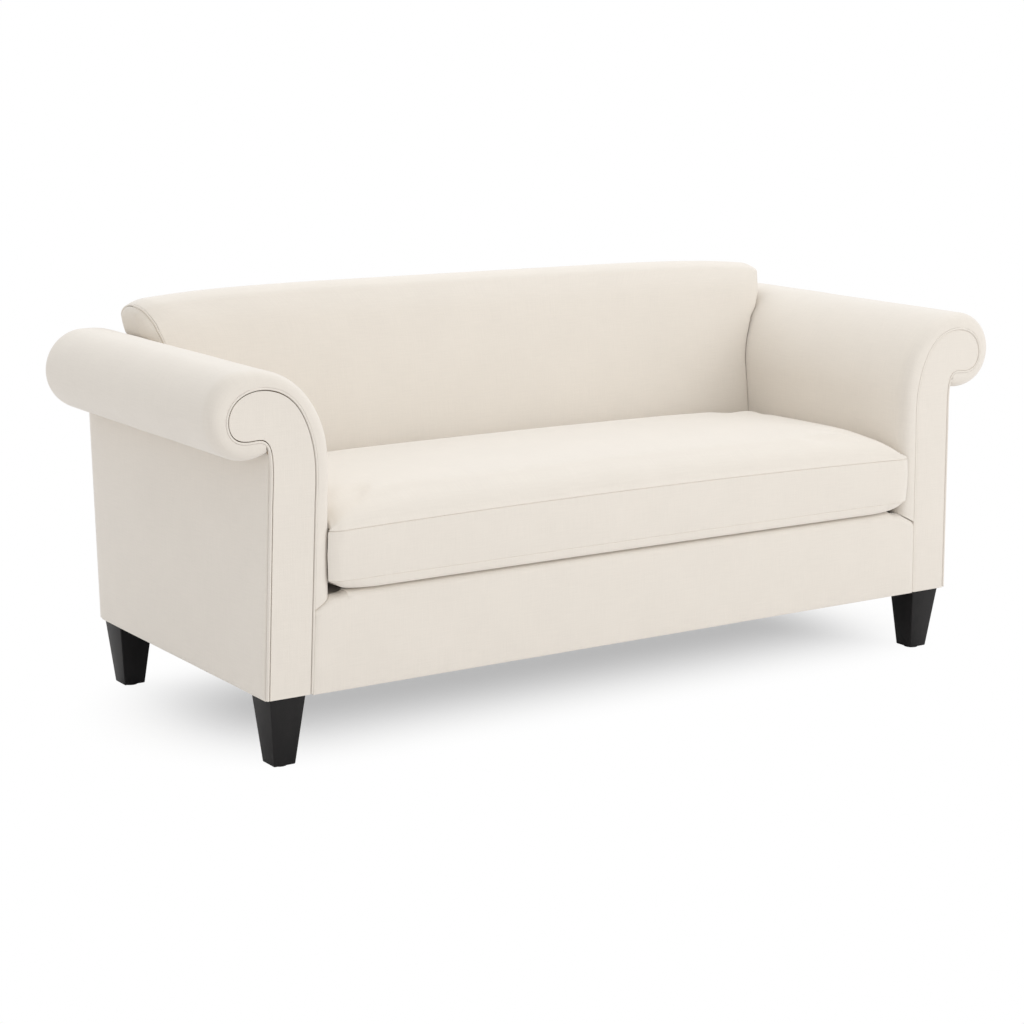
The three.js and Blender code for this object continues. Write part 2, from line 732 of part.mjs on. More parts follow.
// Front rail cover: rounded top edge, with its ends curving down beside the arms
function addFrontRailCover() {
  const half = insideArmHalf - 2 * touchGap;
  const shoulder = armFootInside - 2 * touchGap;
  const stations = [[innerFootX, armFootAt(innerLineX(armFootSeam)) - 2 * touchGap]];
  for (const t of railCornerShares) {
    const turn = (t * Math.PI) / 2;
    const top = railTop - (railTop - shoulder) * Math.cos(turn);
    stations.push([half - railCornerReach * Math.sin(turn), top]);
  }
  const all = [...stations, ...stations.slice().reverse().map(([x, top]) => [-x, top])];
  const rings = all.map(([x, top]) => {
    const round = railEdgeRadius;
    const outline = [
      new THREE.Vector2(0, underside),
      ...arc(round, top - round, round, Math.PI, Math.PI / 2, railEdgeSteps),
      new THREE.Vector2(railCoverThickness, top), new THREE.Vector2(railCoverThickness, underside),
    ];
    return outline.map((p) => {
      const reach = Math.min(Math.abs(x), innerLineX(p.y) - seamGap);
      return new THREE.Vector3(Math.sign(x) * reach, frontY + p.x, p.y);
    });
  });
  add('front_rail_cover', outward(loft(rings, capAlongX)), fabricMaterial());
}

// The back's section: up its front face, over the rolled top and into the tuck behind, as
// depth and height. Each point of the rim has a partner on the back's frame and a rounding.
const faceSteps = 20;
const quarterSteps = 5;
const tuckSteps = 3;
const rollShares = [[0, 0], [0, 0.5], [0, 1], [0.12, 1], [0.26, 1], [0.4, 1], [0.55, 1], [0.7, 1],
  [0.85, 1], [1, 1], [1, 0.8]];
const tuckShares = [0.6, 0.3, 0];
const backStationShares = [0, 0.3, 0.55, 0.78, 0.92];
const backTurnShares = [0, 0.3, 0.6, 0.82, 1];
const tuckedShare = 0.8;         // past it, the end steps in to leave room for its facing
const facingTurns = [55, 68, 84].map((degrees) => THREE.MathUtils.degToRad(degrees));

const backFace = new THREE.CubicBezierCurve(
  new THREE.Vector2(backSeatDepth, backLowEdge),
  new THREE.Vector2(backSeatDepth, backLowEdge + backLowHandle),
  new THREE.Vector2(backHighDepth, backRollHeight - backHighHandle),
  new THREE.Vector2(backRollFront, backRollHeight),
).getPoints(faceSteps);
const facingStart = backFace.findIndex((p) => p.y > endFacingLow);

function quarterEllipse(centre, reach, rise, from, steps) {
  return Array.from({ length: steps + 1 }, (_, i) => {
    const angle = from - (i * Math.PI) / 2 / steps;
    return new THREE.Vector2(centre.x + reach * Math.cos(angle), centre.y + rise * Math.sin(angle));
  });
}

function mixRound(low, high, share) {
  return {
    inward: low.inward + (high.inward - low.inward) * share,
    across: low.across + (high.across - low.across) * share,
  };
}

function backSection() {
  const points = backFace.slice(0, faceSteps).map((p) => {
    const up = (p.y - backLowEdge) / (backRollHeight - backLowEdge);
    const frameFace = backFrameFaceLow + (backFrameFaceHigh - backFrameFaceLow) * up;
    return { p, pad: new THREE.Vector2(frameFace, p.y), round: frontRound };
  });
  const frontCentre = new THREE.Vector2(backRollMiddle, backRollHeight);
  const rearCentre = new THREE.Vector2(backRollMiddle, backRearHeight);
  const front = quarterEllipse(frontCentre, backRollMiddle - backRollFront,
    backEndHeight - backRollHeight, Math.PI, quarterSteps);
  const rear = quarterEllipse(rearCentre, backRollRear - backRollMiddle,
    backEndHeight - backRearHeight, Math.PI / 2, quarterSteps).slice(1);
  [...front, ...rear].forEach((p, i) => {
    const [across, up] = rollShares[i];
    const pad = new THREE.Vector2(
      backFrameFaceHigh + (backPadRear - backFrameFaceHigh) * across,
      backRollHeight + (backPadRise - backRollHeight) * up,
    );
    const top = Math.sin((i * Math.PI) / 2 / quarterSteps) ** 2;
    points.push({ p, pad, round: mixRound(i > quarterSteps ? rearRound : frontRound, topRound, top) });
  });
  const tuckCentre = new THREE.Vector2(backTuckDepth, backRearHeight);
  const tuck = quarterEllipse(tuckCentre, backRollRear - backTuckDepth,
    backRearHeight - backTuckHeight, 0, tuckSteps).slice(1);
  const lastUp = backRearHeight - backTuckHeight;
  tuck.forEach((p, i) => {
    const pad = new THREE.Vector2(backPadRear, backTuckHeight + lastUp * tuckShares[i]);
    points.push({ p, pad, round: rearRound });
  });
  return points;
}

const section = backSection();
const crest = faceSteps + quarterSteps;
const sectionNormals = section.map((_, i) => {
  const before = section[Math.max(i - 1, 0)].p;
  const after = section[Math.min(i + 1, section.length - 1)].p;
  const along = after.clone().sub(before).normalize();
  return new THREE.Vector2(along.y, -along.x);
});

// How far from the middle the back may reach beside the arm, at a height
function besideArm(z) {
  return insideArmX(z) - (z > shoulderZ ? backEndClearance : backSideClearance);
}

// The rim turned by an angle round the end of the back: reach, depth and height
function turnedRim(turn, extra) {
  return section.map(({ p, round }, i) => {
    const inset = round.inward * (1 - Math.cos(turn)) + extra;
    const at = p.clone().addScaledVector(sectionNormals[i], inset);
    return { reach: backEndHalf - round.across * (1 - Math.sin(turn)), at };
  });
}

function archRise(reach, z) {
  if (z <= backRollHeight) return 0;
  const rise = backArch * (1 - Math.min(reach / backArchReach, 1) ** backArchPower);
  return (rise * (z - backRollHeight)) / (backEndHeight - backRollHeight);
}

function backRing(share, turn) {
  const side = Math.sign(share);
  const part = Math.abs(share);
  const atSeam = turn > tuckedShare * seamTurn;
  const rim = turnedRim(turn, 0);
  const outer = rim.map(({ reach, at }, i) => {
    const limit = besideArm(at.y) - (atSeam && i >= facingStart ? endFacingEdge : 0);
    const x = Math.min(reach, limit) * part;
    return new THREE.Vector3(side * x, frontY + at.x, at.y + archRise(x, at.y));
  });
  const inner = section.map(({ pad }, i) => {
    const limit = besideArm(pad.y) - (i >= facingStart ? endFacingEdge : 0);
    const x = Math.min(rim[0].reach, limit) * part;
    return new THREE.Vector3(side * x, frontY + pad.x, pad.y);
  });
  return [...outer, ...inner.reverse()];
}

function addInsideBack() {
  const turns = backTurnShares.map((t) => t * seamTurn).reverse();
  const shares = backStationShares.slice(1).reverse();
  const rings = [
    ...turns.map((turn) => backRing(-1, turn)),
    ...shares.map((share) => backRing(-share, 0)),
    ...backStationShares.map((share) => backRing(share, 0)),
    ...turns.slice().reverse().map((turn) => backRing(1, turn)),
  ];
  add('inside_back_cover', outward(loft(rings, bandCap)), fabricMaterial());
}

// The depth of a rim's rear at a height
function rearDepth(rim, z) {
  for (let i = crest; i + 1 < rim.length; i += 1) {
    const [high, low] = [rim[i].at, rim[i + 1].at];
    if (z <= high.y && z >= low.y) return low.x + ((high.x - low.x) * (z - low.y)) / (high.y - low.y);
  }
  return z > backRearHeight ? rim[crest].at.x : backPadRear;
}

// The end of the back: a domed facing, row by row up, and the piping round it
function facingRing(side, turn, lift) {
  const seam = turnedRim(seamTurn, 2 * seamGap);
  const rim = turnedRim(turn, 0).map((point, i) => {
    const deeper = point.at.distanceTo(section[i].p) > seam[i].at.distanceTo(section[i].p);
    return { reach: point.reach, at: deeper ? point.at : seam[i].at };
  });
  const top = rim[crest].at.y;
  const rows = rim.slice(facingStart, crest).filter(({ at }) => at.y < top).map(({ reach, at }, i) => {
    const z = at.y + (i === 0 ? touchGap : 0);
    const limit = besideArm(z) - (turn === seamTurn ? endFacingEdge / 2 : endFacingClearance);
    const rearX = Math.min(backEndHalf - rearRound.across * (1 - Math.sin(turn)) + lift, limit);
    return [
      new THREE.Vector3(side * Math.min(reach + lift, limit), frontY + at.x, z),
      new THREE.Vector3(side * rearX, frontY + Math.max(rearDepth(rim, z), at.x + seamGap), z),
    ];
  });
  return [...rows.map(([front]) => front), ...rows.map(([, rear]) => rear).reverse()];
}

function addBackEnd(side, end) {
  const rings = [
    facingRing(side, seamTurn, endFacingGap),
    ...facingTurns.map((turn) => facingRing(side, turn, endFacingGap)),
  ];
  add(`back_end_facing_${end}`, outward(loft(rings, bandCap)), fabricMaterial());
  const lines = pipingTurns.map((angle) => (
    turnedRim(seamTurn, pipingRadius * Math.cos(angle)).map(({ reach, at }) => {
      const limit = besideArm(at.y) - endFacingEdge;
      const x = Math.min(reach, limit) + endPipingLift + pipingRadius * (1 + Math.sin(angle));
      return new THREE.Vector3(side * x, frontY + at.x, at.y);
    })
  ));
  const hoops = lines[0].map((_, k) => lines.map((line) => line[k])).slice(facingStart, -tuckSteps);
  hoops[0].forEach((v) => { v.z += pipingRadius; });
  add(`back_end_piping_${end}`, outward(loft(hoops, capAlongZ)), fabricMaterial());
}

function addBackFrame() {
  const railHigh = backPadRise - touchGap;
  const railFront = backFrameFaceHigh + touchGap;
  const topHalf = backEndHalf - backTopRailInset;
  add('back_top_rail', block(-topHalf, topHalf, railFront, railFront + backTopRailDepth,
    railHigh - backTopRailHeight, railHigh), woodMaterial());
  const lowHalf = insideArmHalf - backLowRailInset;
  const low = backLowEdge + touchGap;
  add('back_lower_rail', block(-lowHalf, lowHalf, backFrameFaceLow + touchGap,
    backPostFront - touchGap, low, low + backLowRailHeight), woodMaterial());
  const half = backPostWidth / 2;
  add('back_centre_post', block(-half, half, backPostFront, backPostBack,
    underside + backPostLift, backPostTop), woodMaterial());
}

const outsideBackTop = backTuckHeight - touchGap;

// Outside back: a stiffened panel between the arms, leaning in slightly at the top. Under
// the padded arms it widens to the rear facings.
function addOutsideBack() {
  const outerDepth = (z) => bodyDepth + ((outsideBackTopDepth - bodyDepth) * (z - underside))
    / (outsideBackTop - underside);
  const innerDepth = (z) => Math.min(outerDepth(z) - outsideBackThickness, rearRailBack + touchGap);
  const rows = fullRim.map((p) => p.y).filter((z) => z > shoulderZ && z < outsideBackTop);
  rows.sort((a, b) => a - b);
  const narrow = [armFootInside - touchGap, shoulderZ, ...rows, outsideBackTop].map(
    (z) => [z, Math.min(besideArm(z), backEndHalf)],
  );
  const wide = [underside, frameTop, armFootSeam - 2 * touchGap].map(
    (z) => [z, innerLineX(z) - seamGap],
  );
  const rings = [...wide, ...narrow].map(([z, half]) => (
    [[-half, outerDepth(z)], [half, outerDepth(z)], [half, innerDepth(z)], [-half, innerDepth(z)]]
      .map(([x, d]) => new THREE.Vector3(x, frontY + d, z))
  ));
  add('outside_back_panel', outward(loft(rings, capAlongZ)), fabricMaterial());
}

// Bench cushion: a boxed cover with a crown, its foam core and its zip
const cushionFrontDepth = -cushionOverhang;
const cushionDepth = cushionRear - cushionFrontDepth;
const cushionMiddle = (cushionRear + cushionFrontDepth) / 2;

function cushionPlan(inset) {
  const halfX = cushionHalf - inset;
  const halfY = cushionDepth / 2 - inset;
  const corner = (sx, sy) => {
    const radius = Math.max((sy < 0 ? cushionFrontRadius : cushionRearRadius) - inset, touchGap);
    return { x: sx * (halfX - radius), y: sy * (halfY - radius), radius };
  };
  const points = [];
  const drawIn = (cushionDrawIn * halfY) / (cushionDepth / 2);
  const corners = [corner(1, -1), corner(1, 1), corner(-1, 1), corner(-1, -1)];
  corners.forEach((c, n) => {
    const from = -Math.PI / 2 + (n * Math.PI) / 2;
    const turned = arc(c.x, c.y, c.radius, from, from + Math.PI / 2, cushionCornerSteps);
    points.push(...turned);
    const next = corners[(n + 1) % 4];
    const nextFrom = from + Math.PI / 2;
    const a = turned[turned.length - 1];
    const b = arc(next.x, next.y, next.radius, nextFrom, nextFrom, 1)[0];
    for (const t of cushionEdgeShares[n]) {
      const pull = n % 2 === 1 ? drawIn * Math.sqrt(Math.sin(Math.PI * t)) : 0;
      const p = a.clone().lerp(b, t);
      p.y -= Math.sign(p.y) * pull;
      points.push(p);
    }
  });
  return points.map((p) => {
    const depth = THREE.MathUtils.clamp((p.y + cushionMiddle) / borderDepth, 0, 1);
    const flare = Math.max(cushionFlare - inset, 0) * (1 - Math.sqrt(depth * (2 - depth)));
    return new THREE.Vector2(p.x + Math.sign(p.x) * flare * (Math.abs(p.x) / halfX) ** flarePower, p.y);
  });
}

const seamRise = (y) => cushionSeamRise * ((y + cushionDepth / 2) / cushionDepth);

function cushionTop(x, y, height) {
  const back = (y + cushionDepth / 2) / cushionDepth;
  const across = 1 - Math.exp(-Math.max(cushionHalf - Math.abs(x), 0) / cushionCrownEdge);
  const along = (1 - Math.exp(-back / crownFrontShare)) * (1 - crownRearLossShare * back ** crownRearPower);
  return height + cushionCrown * across * along;
}

function cushionForm(shrink, bottomShrink) {
  const base = cushionBase + bottomShrink;
  const seam = cushionBase + cushionSeamHeight - shrink;
  const lowSeam = cushionBase + cushionLowSeam;
  const ring = (inset, z) => cushionPlan(inset + shrink).map((p) => {
    const height = typeof z === 'function' ? z(p.x, p.y) : z;
    return new THREE.Vector3(p.x, frontY + cushionMiddle + p.y, height);
  });
  const seamAt = (x, y) => seam + seamRise(y);
  const crown = (x, y) => cushionTop(x, y, seam) + seamRise(y) * (1 - Math.abs(y) / cushionDepth);
  const rings = [
    ring(cushionFlatInset, base), ring(cushionUnderInset, base),
    ring(cushionTurnInset, (base + lowSeam) / 2),
    ring(0, lowSeam), ring(-cushionSideBulge, (lowSeam + seam) / 2), ring(0, seamAt),
  ];
  for (const inset of cushionInsetShares) {
    rings.push(ring((inset * cushionDepth) / 2, crown));
  }
  return outward(loft(rings, capAlongZ));
}

function addCushion() {
  const outer = toSolid(cushionForm(0, 0));
  const inner = toSolid(cushionForm(coverThickness, coverThickness));
  const zipZ = cushionBase + cushionSeamHeight / 2;
  const slotHalf = cushionHalf - zipEndGap;
  const slot = toSolid(block(-slotHalf, slotHalf, cushionRear - 2 * coverThickness,
    cushionRear + cutOverrun, zipZ - zipWidth / 2, zipZ + zipWidth / 2));
  add('seat_cushion_cover', fromSolid(outer.subtract(inner).subtract(slot)), fabricMaterial());
  add('seat_cushion_core', cushionForm(coverThickness + coreGap, coverThickness + coreGap), foamMaterial());
  const zipHalf = slotHalf - touchGap;
  const zipBack = cushionRear - cushionDrawIn - 2 * touchGap;
  add('seat_cushion_zip', block(-zipHalf, zipHalf, zipBack - zipThickness, zipBack,
    zipZ - zipWidth / 2 + touchGap, zipZ + zipWidth / 2 - touchGap), tapeMaterial());
}

// Dust cover under the frame, notched round the legs and their blocks
function addDustCover() {
  const halfX = sideRailOuter;
  const [front, rear] = [railCoverThickness + touchGap, rearRailBack];
  const notchX = blockInner - touchGap;
  const notchDepth = blockDepth + touchGap;
  const quarter = [[notchX, front], [notchX, front + notchDepth], [halfX, front + notchDepth],
    [halfX, rear - notchDepth], [notchX, rear - notchDepth], [notchX, rear]];
  const other = quarter.slice().reverse().map(([x, d]) => [-x, d]);
  const outline = [...quarter, ...other].map(([x, d]) => new THREE.Vector2(x, frontY + d));
  const geometry = new THREE.ExtrudeGeometry(new THREE.Shape(outline),
    { depth: dustCoverThickness, bevelEnabled: false });
  geometry.translate(0, 0, underside + touchGap);
  add('dust_cover', outward(geometry), dustMaterial());
}

addSeatFrame();
addBackFrame();
addSprings();
addDeck();
addFrontRailCover();
addInsideBack();
addOutsideBack();
addCushion();
addDustCover();
for (const [side, end] of [[-1, 'left'], [1, 'right']]) {
  addSideFrame(side, end);
  addArm(side, end);
  addBackEnd(side, end);
  addLeg(side, legFrontDepth, `front_${end}`);
  addLeg(side, legRearDepth, `rear_${end}`);
}

export default sofa;
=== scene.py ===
# %% [markdown]
# # A roll arm sofa, dressed
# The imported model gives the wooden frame, the springs and the place of every cover. Here
# each cover is made again as padded cloth, the legs get their edges and lacquer, and the
# sofa stands on a pale floor in soft light, seen as in the photograph.

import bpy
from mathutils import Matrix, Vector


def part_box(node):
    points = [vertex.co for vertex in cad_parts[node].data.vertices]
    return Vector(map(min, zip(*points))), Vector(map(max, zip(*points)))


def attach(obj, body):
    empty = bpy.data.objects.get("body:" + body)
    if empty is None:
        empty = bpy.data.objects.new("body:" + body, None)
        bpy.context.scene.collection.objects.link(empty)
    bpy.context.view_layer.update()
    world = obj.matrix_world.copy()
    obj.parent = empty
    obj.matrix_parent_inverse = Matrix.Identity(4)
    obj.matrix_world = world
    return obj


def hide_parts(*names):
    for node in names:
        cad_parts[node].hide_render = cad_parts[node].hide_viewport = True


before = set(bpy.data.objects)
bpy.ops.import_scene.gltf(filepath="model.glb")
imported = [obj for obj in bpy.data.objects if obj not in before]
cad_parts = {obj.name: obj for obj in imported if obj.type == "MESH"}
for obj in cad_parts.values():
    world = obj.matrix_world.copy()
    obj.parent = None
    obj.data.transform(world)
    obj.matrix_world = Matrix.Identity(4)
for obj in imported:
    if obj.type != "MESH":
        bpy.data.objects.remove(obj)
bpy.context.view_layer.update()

# %% [markdown]
# Selecting by hand always starts from nothing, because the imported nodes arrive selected.
# Two small helpers keep every later step that honest.

# %% Selecting helpers
import math

import bpy
import numpy as np
from mathutils import Matrix, Vector, noise


def clear_selection():
    if bpy.context.object and bpy.context.object.mode != "OBJECT":
        bpy.ops.object.mode_set(mode="OBJECT")
    bpy.ops.object.select_all(action="DESELECT")


def pick(piece):
    clear_selection()
    piece.select_set(True)
    bpy.context.view_layer.objects.active = piece


clear_selection()
print("selected:", len(bpy.context.selected_objects))

# %% [markdown]
# Padded covers are skins drawn through many rings of points, like the ribs of a boat. Each
# skin keeps its own cloth measure: how far a point lies across and along the piece, in
# metres, goes into its UV map, so the weave later runs with the cloth and not through it.

# %% Skins through rings
SMOOTH_ANGLE = math.radians(40)


def smooth_closed(piece, angle=SMOOTH_ANGLE):
    pick(piece)
    bpy.ops.object.mode_set(mode="EDIT")
    bpy.ops.mesh.select_all(action="SELECT")
    bpy.ops.mesh.normals_make_consistent(inside=False)
    bpy.ops.object.mode_set(mode="OBJECT")
    bpy.ops.object.shade_smooth_by_angle(angle=angle)
    return piece


def mesh_piece(name, points, faces, cloth):
    mesh = bpy.data.meshes.new(name)
    mesh.from_pydata([tuple(p) for p in points], [], faces)
    layer = mesh.uv_layers.new(name="cloth")
    layer.data.foreach_set("uv", np.asarray(cloth, np.float32).ravel())
    piece = bpy.data.objects.new(name, mesh)
    bpy.context.scene.collection.objects.link(piece)
    return piece


def ring_faces(rows, count, across, along):
    faces, cloth = [], []
    for r in range(rows - 1):
        for i in range(count):
            j = (i + 1) % count
            far = across[j] if j else across[i] + abs(across[i] - across[i - 1])
            faces.append((r * count + i, r * count + j, (r + 1) * count + j, (r + 1) * count + i))
            cloth += [(across[i], along[r]), (far, along[r]), (far, along[r + 1]),
                      (across[i], along[r + 1])]
    return faces, cloth


def band_cap(count, start, across, along):
    """Faces over a ring whose second half runs back beside its first half."""
    faces, cloth, last = [], [], count - 1
    for i in range(count // 2 - 1):
        corners = (i, i + 1, last - i - 1, last - i)
        faces.append(tuple(start + c for c in corners))
        cloth += [(across[c], along) for c in corners]
    return faces, cloth


def flat_cap(count, start, across, along):
    """One face over a whole ring."""
    return [tuple(start + k for k in range(count))], [(a, along) for a in across]


def skin(name, rings, across, along, cap=band_cap, angle=SMOOTH_ANGLE):
    rings = np.asarray(rings, float)
    rows, count = rings.shape[:2]
    faces, cloth = ring_faces(rows, count, across, along)
    for row in (0, rows - 1):
        more, where = cap(count, row * count, across, along[row])
        faces += more
        cloth += where
    return smooth_closed(mesh_piece(name, rings.reshape(-1, 3), faces, cloth), angle)


def run_length(points):
    """How far along a line of points each one lies."""
    steps = np.linalg.norm(np.diff(np.asarray(points, float), axis=0), axis=1)
    return np.concatenate([[0.0], np.cumsum(steps)])


def steps_between(low, high, count):
    return np.linspace(low, high, count + 1)


def smooth_step(value, low, high):
    share = np.clip((value - low) / (high - low), 0, 1)
    return share * share * (3 - 2 * share)


print("ring helpers ready")

# %% [markdown]
# ## The scroll arm
# The arm of this sofa is one outline pulled from front to back: a straight inside face, a
# wide shoulder, and a roll that ends in a small hook over the outside. All lengths are in
# metres, and depths are measured back from the plane of the arm facings.

# %% Sizes of the scroll arm
BODY_HALF = 0.960          # middle to the outer foot of an arm
BODY_DEPTH = 0.832
FRONT_Y = -0.409
UNDERSIDE = 0.156
ARM_HEIGHT = 0.845
LEAN_IN = 0.015            # the outer edge leans in at the front and out at the rear
LEAN_OUT = 0.016
NECK_WIDTH = 0.105
FOOT_WIDTH = 0.104
SCROLL_RADIUS = 0.056
SCROLL_OVERHANG = 0.050
SHOULDER_REACH = 0.135
SHOULDER_RISE = 0.159
HOOK_RADIUS = 0.028
BORDER = 0.036             # padded border round the facing
SEAM_GAP = 0.0028
LIP = 0.003
INSIDE_ARM = 0.804
ARM_FOOT_INSIDE = 0.361
ARM_FOOT_SEAM = 0.337
PIPING_RADIUS = 0.0026

neck_x = BODY_HALF - LEAN_IN
inner_foot_x = BODY_HALF - FOOT_WIDTH
inner_neck_x = neck_x - NECK_WIDTH
scroll_top = ARM_HEIGHT - BORDER
scroll = (neck_x + SCROLL_OVERHANG, scroll_top - SCROLL_RADIUS)
shoulder = (inner_neck_x + SHOULDER_REACH, scroll_top - SHOULDER_RISE)
hook_x = neck_x + HOOK_RADIUS
hook_drop = math.sqrt((SCROLL_RADIUS + HOOK_RADIUS) ** 2 - (scroll[0] - hook_x) ** 2)
hook = (hook_x, scroll[1] - hook_drop)
join_turn = math.atan2(scroll[1] - hook[1], scroll[0] - hook[0])
print("scroll centre:", scroll, "hook centre:", hook)

# %% [markdown]
# The seam that the piping follows is not a set of true arcs: the hook, the roll and the
# shoulder flow into each other. A cubic spline over a few control points draws such a
# line, and it can be moved out or in by an offset along its own normals.

# %% The seam line round the scroll
SEAM_CONTROLS = np.array((
    (0.9521, 0.4936), (0.9486, 0.5596), (0.9456, 0.6234), (0.9459, 0.6798), (0.9613, 0.7068),
    (0.9988, 0.6980), (1.0374, 0.7070), (1.0516, 0.7507), (1.0292, 0.7955), (0.9791, 0.8139),
    (0.9262, 0.8062), (0.8873, 0.7797), (0.8637, 0.7408), (0.8482, 0.6969), (0.8409, 0.6516),
    (0.8406, 0.6058), (0.8430, 0.5600), (0.8463, 0.5141)))
SEAM_SPANS = len(SEAM_CONTROLS) - 3


def seam_at(t):
    """Points of the spline; t counts its spans from the outer side to the inner side."""
    t = np.asarray(t, float)
    span = np.minimum(t.astype(int), SEAM_SPANS - 1)
    u = (t - span)[:, None]
    shares = ((1 - u) ** 3, 3 * u ** 3 - 6 * u ** 2 + 4,
              -3 * u ** 3 + 3 * u ** 2 + 3 * u + 1, u ** 3)
    return sum(share * SEAM_CONTROLS[span + k] for k, share in enumerate(shares)) / 6


def moved_out(line, offset):
    way = np.gradient(line, axis=0)
    way /= np.linalg.norm(way, axis=1)[:, None]
    return line + offset * np.column_stack([way[:, 1], -way[:, 0]])


fine_turns = steps_between(0, SEAM_SPANS, 1500)
fine_seam = seam_at(fine_turns)
seam_top = int(np.argmax(fine_seam[:, 1]))
print("seam from, over and to:", fine_seam[[0, seam_top, -1]].round(3).tolist())

# %% Outlines of the arm
HOOK_STEPS, SCROLL_STEPS, SHOULDER_STEPS, STRAIGHT_STEPS = 10, 44, 36, 20
SEAM_STEPS, FOOT_STEPS = 120, 16
HOOK_TURN = 2.6            # where along the spline the padded border starts
SEAM_JOIN = 0.004          # the spline meets the straight sides within this height
REAR_HOOK_DROP = 0.0015
UNDER_ROLL_START = math.radians(-118.5)


def arc(centre, reach, start, end, steps):
    """Part of a circle, or of an ellipse where reach is a pair."""
    turn = steps_between(start, end, steps)
    return np.array(centre) + np.column_stack([np.cos(turn), np.sin(turn)]) * reach


def inner_line_x(z):
    lean = inner_neck_x - inner_foot_x
    return inner_foot_x + lean * (z - UNDERSIDE) / (shoulder[1] - UNDERSIDE)


def outer_line_x(z, rear_share=0.0):
    lean = -LEAN_IN + (LEAN_IN + LEAN_OUT) * rear_share
    return BODY_HALF + lean * (z - UNDERSIDE) / (hook[1] - UNDERSIDE)


def roll_line(offset):
    return arc(scroll, SCROLL_RADIUS + offset, join_turn - math.pi, math.pi / 2, SCROLL_STEPS)[1:]


def shoulder_line(offset):
    turn = steps_between(math.pi / 2, math.pi, SHOULDER_STEPS)
    out = np.column_stack([np.cos(turn) / SHOULDER_REACH, np.sin(turn) / SHOULDER_RISE])
    out *= offset / np.linalg.norm(out, axis=1)[:, None]
    reach = (SHOULDER_REACH, SHOULDER_RISE)
    return arc(shoulder, reach, math.pi / 2, math.pi, SHOULDER_STEPS) + out


def arm_foot_at(x):
    across = (x - INSIDE_ARM) / (inner_line_x(ARM_FOOT_SEAM) - INSIDE_ARM)
    return ARM_FOOT_INSIDE + (ARM_FOOT_SEAM - ARM_FOOT_INSIDE) * across


def seam_line(offset, foot, place="front"):
    """The whole seam, from the outer foot over the scroll to the inner foot."""
    curve = moved_out(seam_at(steps_between(0, SEAM_SPANS, SEAM_STEPS)), offset)
    if place == "front":
        top, rear_share = curve[0, 1] - SEAM_JOIN, 0.0
    else:
        curve = curve[int(np.argmax(curve[:, 1] > hook[1])):]
        top, rear_share = hook[1] - REAR_HOOK_DROP, 1.0
    rising = steps_between(foot, top, FOOT_STEPS)
    outer = [(outer_line_x(z, rear_share) + offset, z) for z in rising]
    falling = steps_between(curve[-1, 1] - SEAM_JOIN, foot, FOOT_STEPS)
    return np.vstack([outer, curve, [(inner_line_x(z) - offset, z) for z in falling]])


print("whole seam:", len(seam_line(0.0, UNDERSIDE)), "points")

# %% [markdown]
# The padded border joins the seam to the full arm. Each of its ribs needs a point on the
# seam and its partner on the full outline: by angle round the roll, by share of the way
# over the shoulder, and by height down the inside.

# %% Partners on the seam and the full arm
def turns_round_roll(angles):
    """Where along the seam each angle round the scroll's centre lies."""
    seen = np.unwrap(np.arctan2(fine_seam[:, 1] - scroll[1], fine_seam[:, 0] - scroll[0]))
    rolled = slice(int(HOOK_TURN * 100), seam_top + 150)
    return np.interp(angles, seen[rolled], fine_turns[rolled])


def turns_over_shoulder():
    run = run_length(fine_seam)
    low = seam_top + int(np.argmax(fine_seam[seam_top:, 1] < shoulder[1]))
    first = seam_top + int(np.argmax(fine_seam[seam_top:, 0] < shoulder[0]))
    share = run_length(shoulder_line(BORDER))
    where = run[first] + (run[low] - run[first]) * share / share[-1]
    return np.interp(where, run, fine_turns)


first_turn = float(turns_round_roll(np.array([join_turn - math.pi]))[0])
rim_turns = np.concatenate([
    steps_between(HOOK_TURN, first_turn, HOOK_STEPS),
    turns_round_roll(steps_between(join_turn - math.pi, math.pi / 2, SCROLL_STEPS)[1:]),
    turns_over_shoulder()])


def seam_rim(offset):
    line = moved_out(fine_seam, offset)
    curved = np.column_stack([np.interp(rim_turns, fine_turns, line[:, k]) for k in (0, 1)])
    foot = arm_foot_at(inner_line_x(ARM_FOOT_SEAM) - offset)
    heights = steps_between(shoulder[1], foot, STRAIGHT_STEPS)[1:]
    falling = np.vstack([line[seam_top:], [(inner_foot_x - offset, UNDERSIDE)]])
    x = np.interp(-heights, -falling[:, 1], falling[:, 0])
    return np.vstack([curved, np.column_stack([x, heights])])


def inside_line(foot):
    falling = steps_between(shoulder[1], foot, STRAIGHT_STEPS)[1:]
    return np.array([(INSIDE_ARM, z) for z in falling])


under_roll = arc(scroll, SCROLL_RADIUS + BORDER, UNDER_ROLL_START, join_turn - math.pi,
                 HOOK_STEPS)
full_rim = np.vstack([under_roll, roll_line(BORDER), shoulder_line(BORDER),
                      inside_line(ARM_FOOT_INSIDE)])
lip_rim, seam_side_rim = seam_rim(SEAM_GAP + LIP), seam_rim(SEAM_GAP)
shoulder_start = HOOK_STEPS + SCROLL_STEPS
print("points round the arm:", len(full_rim), len(lip_rim))

# %% [markdown]
# The padded border is a quarter round, 36 mm deep, from the seam at the facing to the full
# arm. At the rear the roll has the same border, but the inside face stays nearly square,
# because the back is built against it. A very slight, slow unevenness in the padding is
# what keeps a long roll from looking turned on a lathe.

# %% Padded arms
BORDER_STEPS, LENGTH_STEPS = 12, 44
REAR_ROUND_SHARE = 0.15
BORDER_SWELL = 0.0022      # the border stands proud of the facing by this much
PAD_UNEVENNESS = 0.0009
ARM_PITCH, ARM_SEED = 0.11, 3.7


